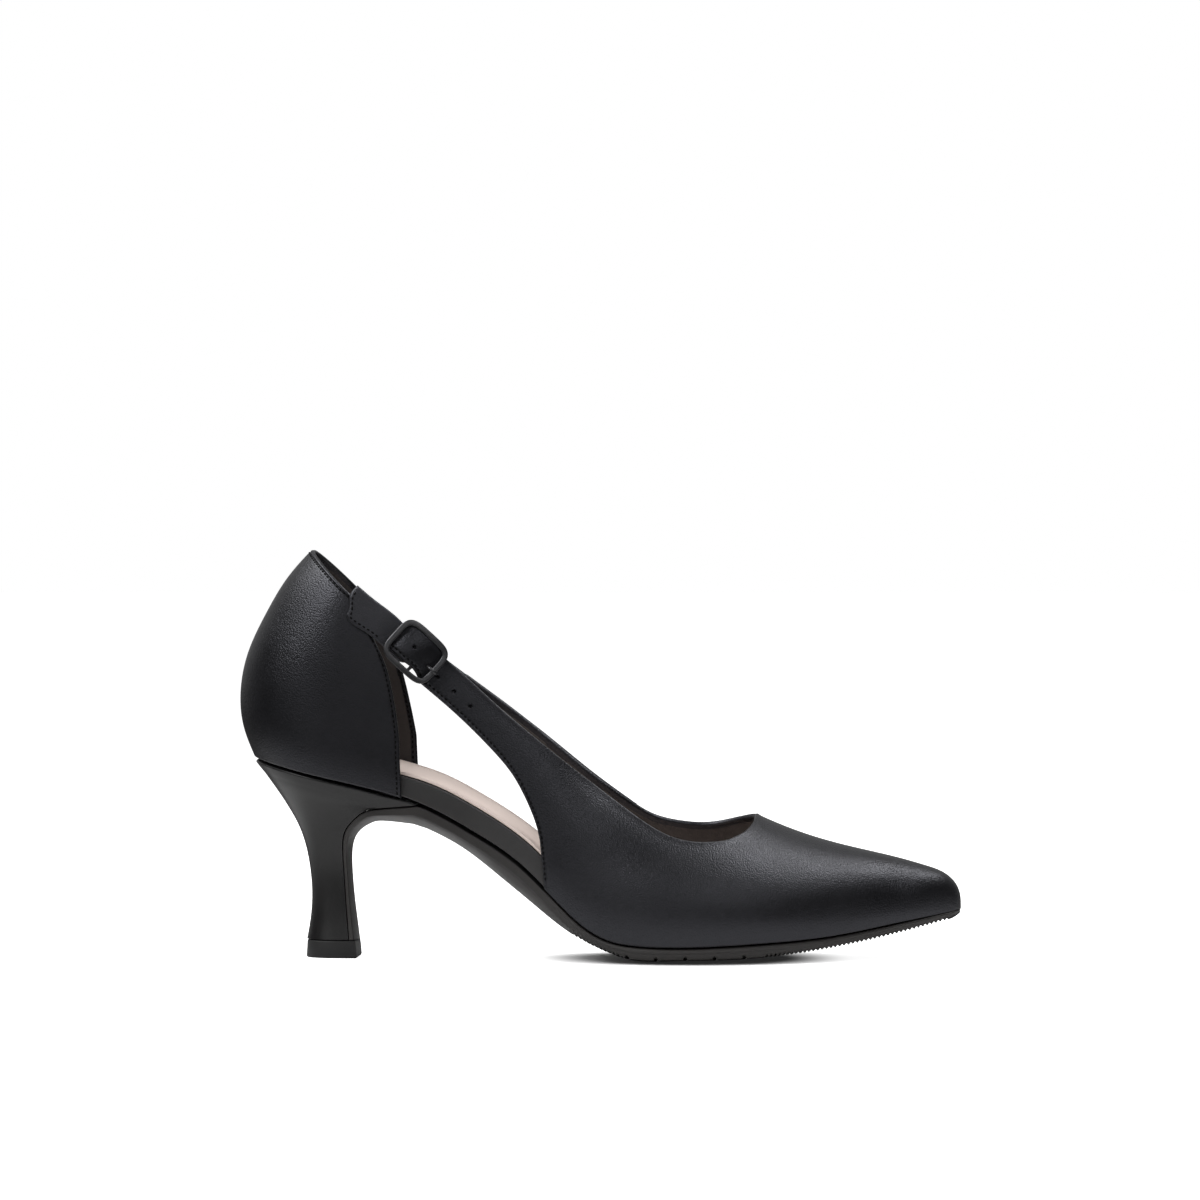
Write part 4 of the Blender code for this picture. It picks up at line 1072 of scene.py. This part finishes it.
def sole_rings():
    """Sections from the toe back to the heel: flat above, shaped side walls, a crowned and ribbed bottom.

    The bottom's depth at a share of the half width is rim + (1 - rim)(1 - share^power) of the full thickness.
    """
    edges = feather(sole_inset, 400)
    tip_steps = np.array([0, 0.03, 0.1, 0.22, 0.4, 0.7, 1.1])
    waist_x = np.linspace(-10, -58, 60)
    x = np.concatenate([SOLE_TOE - tip_steps, np.arange(SOLE_TOE - 1.4, -10, -0.2), waist_x])
    level = np.linspace(0, FLAP["level"][-1], 90)
    flap = {name: smooth(FLAP, name, level) for name in FLAP}

    def on_down(values, flap_values):
        """A column of values along the sole and on down the flap."""
        return np.concatenate([values, np.broadcast_to(flap_values, level.shape)])[:, None]

    forepart = fade(x, -20, -5)
    thin = THINNED * np.clip((x - SOLE_TOE + THIN_LENGTH) / THIN_LENGTH, 0, 1) ** 2
    tip = on_down(np.sqrt(1 - thin), 1)
    top_x, low_x = on_down(x, flap["top_x"]), on_down(x, flap["low_x"])
    top_z = on_down(seat(x) - sole_gap(x), flap["top_z"])
    low_z = on_down(smooth(SOLE_LOW, "z", x), flap["low_z"])
    low_x, low_z = top_x + (low_x - top_x) * tip, top_z + (low_z - top_z) * tip
    outer = on_down(-np.interp(x, *edges[0].T), flap["outer"])
    inner = on_down(np.interp(x, *edges[1].T), flap["inner"])
    rim = on_down(smooth(SOLE_LOW, "rim", x), flap["rim"])
    power = on_down(WAIST_CROWN + (TREAD_CROWN - WAIST_CROWN) * forepart, flap["power"])
    depth = np.linspace(0, 1, 15)
    corner = np.clip(1 - np.minimum(depth, 1 - depth) / PLAIN_SHARE, 0, 1)
    plain_side = -PLAIN_ROUND * (1 - np.sqrt(1 - corner**2))
    wall = plain_side + (smooth(SIDE, "out", depth) - plain_side) * on_down(forepart, 0)
    bottom = np.linspace(-1, 1, 43)[1:-1]
    above = np.linspace(1, -1, 13)[1:-1]
    deep = rim + (1 - rim) * (1 - np.abs(bottom) ** power)
    side_deep = rim * depth
    middle, half = (inner - outer) / 2, (inner + outer) / 2
    y = np.hstack([-outer - wall, middle + bottom * half, (inner + wall)[:, ::-1], middle + above * half])
    lid = np.zeros((len(rim), len(above)))
    share = np.hstack([side_deep, deep, side_deep[:, ::-1], lid])
    cut = np.broadcast_to(np.clip(depth * 3 - 2, 0, 1), wall.shape)
    hollow = on_down(tread(x), 0) * np.hstack([cut, np.ones(deep.shape), cut[:, ::-1], lid])
    section_x = top_x + (low_x - top_x) * share
    section_z = top_z + (low_z - top_z) * share
    return np.stack([section_x, y, np.maximum(section_z, TREAD_REST) + hollow], -1)


def moulded(name, dark, light, roughness, gloss):
    """Moulded rubber: fine pitted surface, cloudy in tone."""
    return hide(name, dark, light, 3200.0, 0.00002, roughness, roughness + 0.12, Specular_IOR_Level=gloss)


sole_rubber = moulded("sole_rubber", (0.02, 0.018, 0.017), (0.026, 0.0235, 0.0225), 0.45, 0.5)
outsole = loft("outsole_moulded", sole_rings(), [sole_rubber], sharp=50)
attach(outsole, "root")
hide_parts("outsole")

# Heel. A moulded block covered in smooth black leather, wide at the seat, drawn in to a slim neck and flared
# again to its foot. The cover is turned in under the seat with a soft round edge.

# Levels of the heel block: back and front point in the side view, half width, and share of the length that
# the round back takes
HEEL = columns(
    "level back_x back_z front_x front_z half round",
    (0, -116.9, 67.4, -60.6, 53.2, 25.0, 0.62),
    (1, -113.9, 62.8, -72.6, 51.6, 22.0, 0.64),
    (2, -109.9, 57.2, -79.0, 50.0, 18.4, 0.66),
    (3, -105.8, 50.9, -83.4, 46.5, 14.4, 0.7),
    (4, -102.3, 44.4, -86.3, 42.0, 11.0, 0.74),
    (5, -99.8, 36.8, -86.9, 35.3, 8.6, 0.78),
    (6, -98.4, 28.4, -86.5, 27.6, 7.4, 0.8),
    (7, -98.0, 20.2, -86.0, 19.8, 7.4, 0.8),
    (8, -98.6, 12.6, -85.4, 12.4, 8.1, 0.8),
    (9, -99.7, 6.3, -84.8, 6.3, 9.1, 0.8),
)
# Inset from the feather edge, gap under the seat, the rise of the front tips out of that gap, and its place
HEEL_INSET, SEAT_GAP, TIP_LIFT, TIP_PLACE = 0.2, 0.5, 1.0, (-72, -60)
HEEL_AXIS = LAST["axis"][0]
# Rounding of the edge at the seat and at the foot, inwards and down
SEAT_ROUND, FOOT_ROUND = (1.0, 0.9), (0.25, 0.12)


def heel_ring(row, edges, inset, drop):
    """A level of the heel: a superellipse at the back, straight sides, a flat breast, within the seat."""
    around = 1 - np.cos(np.linspace(0, math.pi / 2, 34))
    share = np.concatenate([around, np.ones(8)])
    toward = np.concatenate([np.ones(34), np.linspace(1, 0, 9)[1:]])
    rear = np.clip(share / row["round"], 0, 1)
    width = row["half"] * (1 - (1 - rear) ** HEEL_POWER) ** (1 / HEEL_POWER)

    def back_to_front(level, axis):
        """The straight line between the level's two points."""
        return level["back_" + axis] + (level["front_" + axis] - level["back_" + axis]) * share

    top = {name: values[0] for name, values in HEEL.items()}
    x, z, top_x, top_z = (back_to_front(level, axis) for level in (row, top) for axis in "xz")
    under = SEAT_GAP - TIP_LIFT * fade(top_x, *TIP_PLACE)
    z = z + (seat(top_x) - under - top_z) * max(0.0, 1 - row["level"]) - drop
    outer, inner = (np.interp(x, edge[:, 0], edge[:, 1]) for edge in edges)
    middle_x = (row["back_x"] + row["front_x"]) / 2
    x = x + inset * np.sign(middle_x - x) * np.clip(np.abs(middle_x - x) / 3, 0, 1)
    near = HEEL_AXIS + (np.maximum(HEEL_AXIS - width, outer) - HEEL_AXIS) * toward
    far = HEEL_AXIS + (np.minimum(HEEL_AXIS + width, inner) - HEEL_AXIS) * toward
    near = near + np.minimum(inset, np.maximum(HEEL_AXIS - near, 0)) * (toward > 0.5)
    far = far - np.minimum(inset, np.maximum(far - HEEL_AXIS, 0)) * (toward > 0.5)
    left = np.column_stack([x, near, z])
    right = np.column_stack([x, far, z])
    return np.vstack([left, right[-2:0:-1]])


def heel_rings():
    """Levels from the seat's edge, rounded on a quarter ellipse, down to the foot with its broken edge."""
    edges = feather(lambda x: HEEL_INSET, 160)

    def ring(level, inset, drop):
        """The ring at a level, by the splines of the heel's columns."""
        row = {name: float(smooth(HEEL, name, level)) for name in HEEL}
        return heel_ring(row, edges, inset, drop)

    inward, down = SEAT_ROUND
    turns = np.linspace(0, 1, 5) * math.pi / 2
    rings = [ring(0, inward * (1 - math.sin(turn)), down * (1 - math.cos(turn))) for turn in turns]
    levels = np.linspace(0.06, HEEL["level"][-1], 90)
    rings += [ring(level, 0.0, down * max(0.0, 1 - level)) for level in levels]
    rings.append(ring(levels[-1], *FOOT_ROUND))
    return np.array(rings)


heel_leather = hide(
    "heel_cover", (0.005, 0.0048, 0.005), (0.007, 0.0068, 0.007), 2800.0, 0.00002, 0.3, 0.37,
    Specular_IOR_Level=0.42,
)
heel = loft("heel_covered", heel_rings(), [heel_leather], sharp=50)
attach(heel, "root")
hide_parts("heel")

# Top piece. The wearing piece of hard black rubber nailed under the heel and the end of the sole's flap, a
# little wider at the floor.

TOP_PIECE = columns(
    "z back front half",
    (0.0, -99.5, -82.3, 9.15), (0.3, -99.8, -82.05, 9.4), (0.7, -99.85, -81.95, 9.5),
    (3.0, -99.7, -82.1, 9.35), (5.4, -99.6, -82.4, 9.25), (5.75, -99.5, -82.5, 9.15),
    (5.95, -99.25, -82.75, 8.9),
)
TOP_PIECE_ROUND = 0.72


def top_piece_rings():
    """Flat levels of the heel's own form, from the floor up to the heel's foot."""
    edges = feather(lambda x: 0.0, 160)
    rings = []
    for z, back, front, half in zip(*TOP_PIECE.values()):
        row = dict(level=9, back_x=back, front_x=front, back_z=z, front_z=z, half=half, round=TOP_PIECE_ROUND)
        rings.append(heel_ring(row, edges, 0.0, 0.0))
    return np.array(rings)


top_rubber = moulded("top_piece_rubber", (0.009, 0.009, 0.0095), (0.013, 0.013, 0.0135), 0.5, 0.35)
top_piece = loft("top_piece_rubber", top_piece_rings(), [top_rubber], sharp=50)
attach(top_piece, "root")
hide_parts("top_piece")

# Studio. A white floor that glows evenly for the camera, with a painted shadow under the tread, and white
# surroundings. For what the shoe mirrors, the floor is bright only close to it and the surroundings are dark
# on the camera's side. Four soft lights stand high, at the right and the left and in front of both, and a low
# panel in front.

FLOOR_HALF = 6.0
# The bright strip of floor that the shoe mirrors: half length, distances over which it ends, and tones
STRIP_HALF, STRIP_ENDS, STRIP_TONES = 0.1, (0.06, 0.2), (0.9, 0.06)
# The painted shadow under the tread, where the floor's glow dips: its middle along the shoe, half length and
# half width, the shares of these over which it ends, and the floor's glow inside and outside it
PAINTED_SHADOW_MIDDLE, PAINTED_SHADOW_LONG, PAINTED_SHADOW_WIDE = 0.03, 0.041, 0.036
PAINTED_SHADOW_ENDS, PAINTED_SHADOW_AND_FLOOR_GLOW = (0.8, 1.4), (0.02, 0.95)
bpy.ops.mesh.primitive_plane_add(size=2 * FLOOR_HALF)
floor = bpy.context.object
floor.name = "floor"
floor_paper, paper_tree, paper, floor_place = new_finish("floor_paper")
paper.inputs["Roughness"].default_value = 0.9
paper.inputs["Specular IOR Level"].default_value = 0.1
paper.inputs["Emission Strength"].default_value = 1.0


def choose(tree, first, second, target):
    """Feeds a socket the first value for what the shoe mirrors and is lit by, the second for what is seen.

    Each of the two is a number or a ramp.
    """
    rays = node(tree, "ShaderNodeLightPath")
    made = node(tree, "ShaderNodeMix", [("Factor", rays, "Is Camera Ray")], data_type="FLOAT")
    for socket, value in zip([s for s in made.inputs if s.type == "VALUE"][1:3], (first, second)):
        if isinstance(value, float):
            socket.default_value = value
        else:
            tree.links.new(value.outputs["Result"], socket)
    tree.links.new([s for s in made.outputs if s.type == "VALUE"][0], target)


flat = node(paper_tree, "ShaderNodeSeparateXYZ", [("Vector", floor_place, "Object")])
beyond = node(paper_tree, "ShaderNodeMath", [(0, flat, "X")], operation="ABSOLUTE")
beyond = reckon(paper_tree, "SUBTRACT", beyond, "Value", STRIP_HALF)
beyond = reckon(paper_tree, "MAXIMUM", beyond, "Value", 0.0)
away = node(paper_tree, "ShaderNodeCombineXYZ", [("X", beyond, "Value"), ("Y", flat, "Y")])
away = node(paper_tree, "ShaderNodeVectorMath", [(0, away, "Vector")], operation="LENGTH")
mirrored = ramp(paper_tree, away, "Value", STRIP_ENDS, STRIP_TONES, "SMOOTHSTEP")
choose(paper_tree, mirrored, STRIP_TONES[0], paper.inputs["Base Color"])
# Painted shadow: the floor's glow for the camera falls to almost nothing over an ellipse under the tread.
painted_shadow_place = node(
    paper_tree, "ShaderNodeMapping", [("Vector", floor_place, "Object")],
    Location=(-PAINTED_SHADOW_MIDDLE / PAINTED_SHADOW_LONG, 0, 0), Scale=(1 / PAINTED_SHADOW_LONG, 1 / PAINTED_SHADOW_WIDE, 0),
)
painted_shadow_reach = node(paper_tree, "ShaderNodeVectorMath", [(0, painted_shadow_place, "Vector")], operation="LENGTH")
glow_with_painted_shadow = ramp(paper_tree, painted_shadow_reach, "Value", PAINTED_SHADOW_ENDS, PAINTED_SHADOW_AND_FLOOR_GLOW, "SMOOTHSTEP")
choose(paper_tree, 0.0, glow_with_painted_shadow, paper.inputs["Emission Color"])
floor.data.materials.append(floor_paper)

SHOE_MIDDLE = 0.0, 0.0, 0.08


def soft_light(name, place, wide, tall, radiance):
    """A rectangular soft light of an even radiance, aimed at the shoe and unseen by the camera."""
    data = bpy.data.lights.new(name, "AREA")
    data.shape = "RECTANGLE"
    data.size, data.size_y = wide, tall
    data.energy = radiance * math.pi * wide * tall
    lamp = bpy.data.objects.new(name, data)
    lamp.location = place
    lamp.rotation_euler = (Vector(SHOE_MIDDLE) - Vector(place)).to_track_quat("-Z", "Y").to_euler()
    lamp.visible_camera = False
    bpy.context.scene.collection.objects.link(lamp)


soft_light("right_top", (0.66, 0.14, 1.25), 0.8, 0.5, 7.0)
soft_light("left_top", (-0.765, 0.121, 1.186), 0.8, 0.8, 5.9)
soft_light("left_front", (-0.792, -0.665, 0.948), 0.55, 0.5, 9.4)
soft_light("right_front", (0.5, -0.939, 0.911), 0.55, 0.5, 2.5)
soft_light("front_panel", (-0.27, -1.272, 0.441), 2.1, 0.4, 0.95)

# The surroundings as the shoe mirrors them: how far from the camera's side they brighten, and tones
SKY_BRIGHTENS, SKY_TONES = (0.1, 0.7), (0.0, 0.35)
world = bpy.data.worlds.new("studio")
world.use_nodes = True
bpy.context.scene.world = world
sky = world.node_tree
background = sky.nodes["Background"]
background.inputs["Color"].default_value = (1, 1, 1, 1)
direction = node(sky, "ShaderNodeTexCoord")
parts = node(sky, "ShaderNodeSeparateXYZ", [("Vector", direction, "Generated")])
dim = ramp(sky, parts, "Y", SKY_BRIGHTENS, SKY_TONES, "SMOOTHSTEP")
choose(sky, dim, 1.0, background.inputs["Strength"])

# Camera. A long lens a little above the shoe and a little towards its toe, as far off as a product photograph
# is taken, framing the shoe with wide margins.

CAMERA_AWAY, CAMERA_TURN, CAMERA_HEIGHT, AIM_HEIGHT = 2.5, math.radians(3.5), 0.175, 0.1213
FRAME_SPAN = 0.4064
view = bpy.data.cameras.new("camera")
camera = bpy.data.objects.new("camera", view)
place = Vector((CAMERA_AWAY * math.sin(CAMERA_TURN), -CAMERA_AWAY * math.cos(CAMERA_TURN), CAMERA_HEIGHT))
aim = Vector((0, 0, AIM_HEIGHT))
camera.location = place
camera.rotation_euler = (aim - place).to_track_quat("-Z", "Y").to_euler()
view.sensor_width = 36
view.lens = view.sensor_width * (aim - place).length / FRAME_SPAN
view.clip_end = 100
bpy.context.scene.collection.objects.link(camera)
bpy.context.scene.camera = camera
bpy.context.scene.view_settings.view_transform = "Standard"
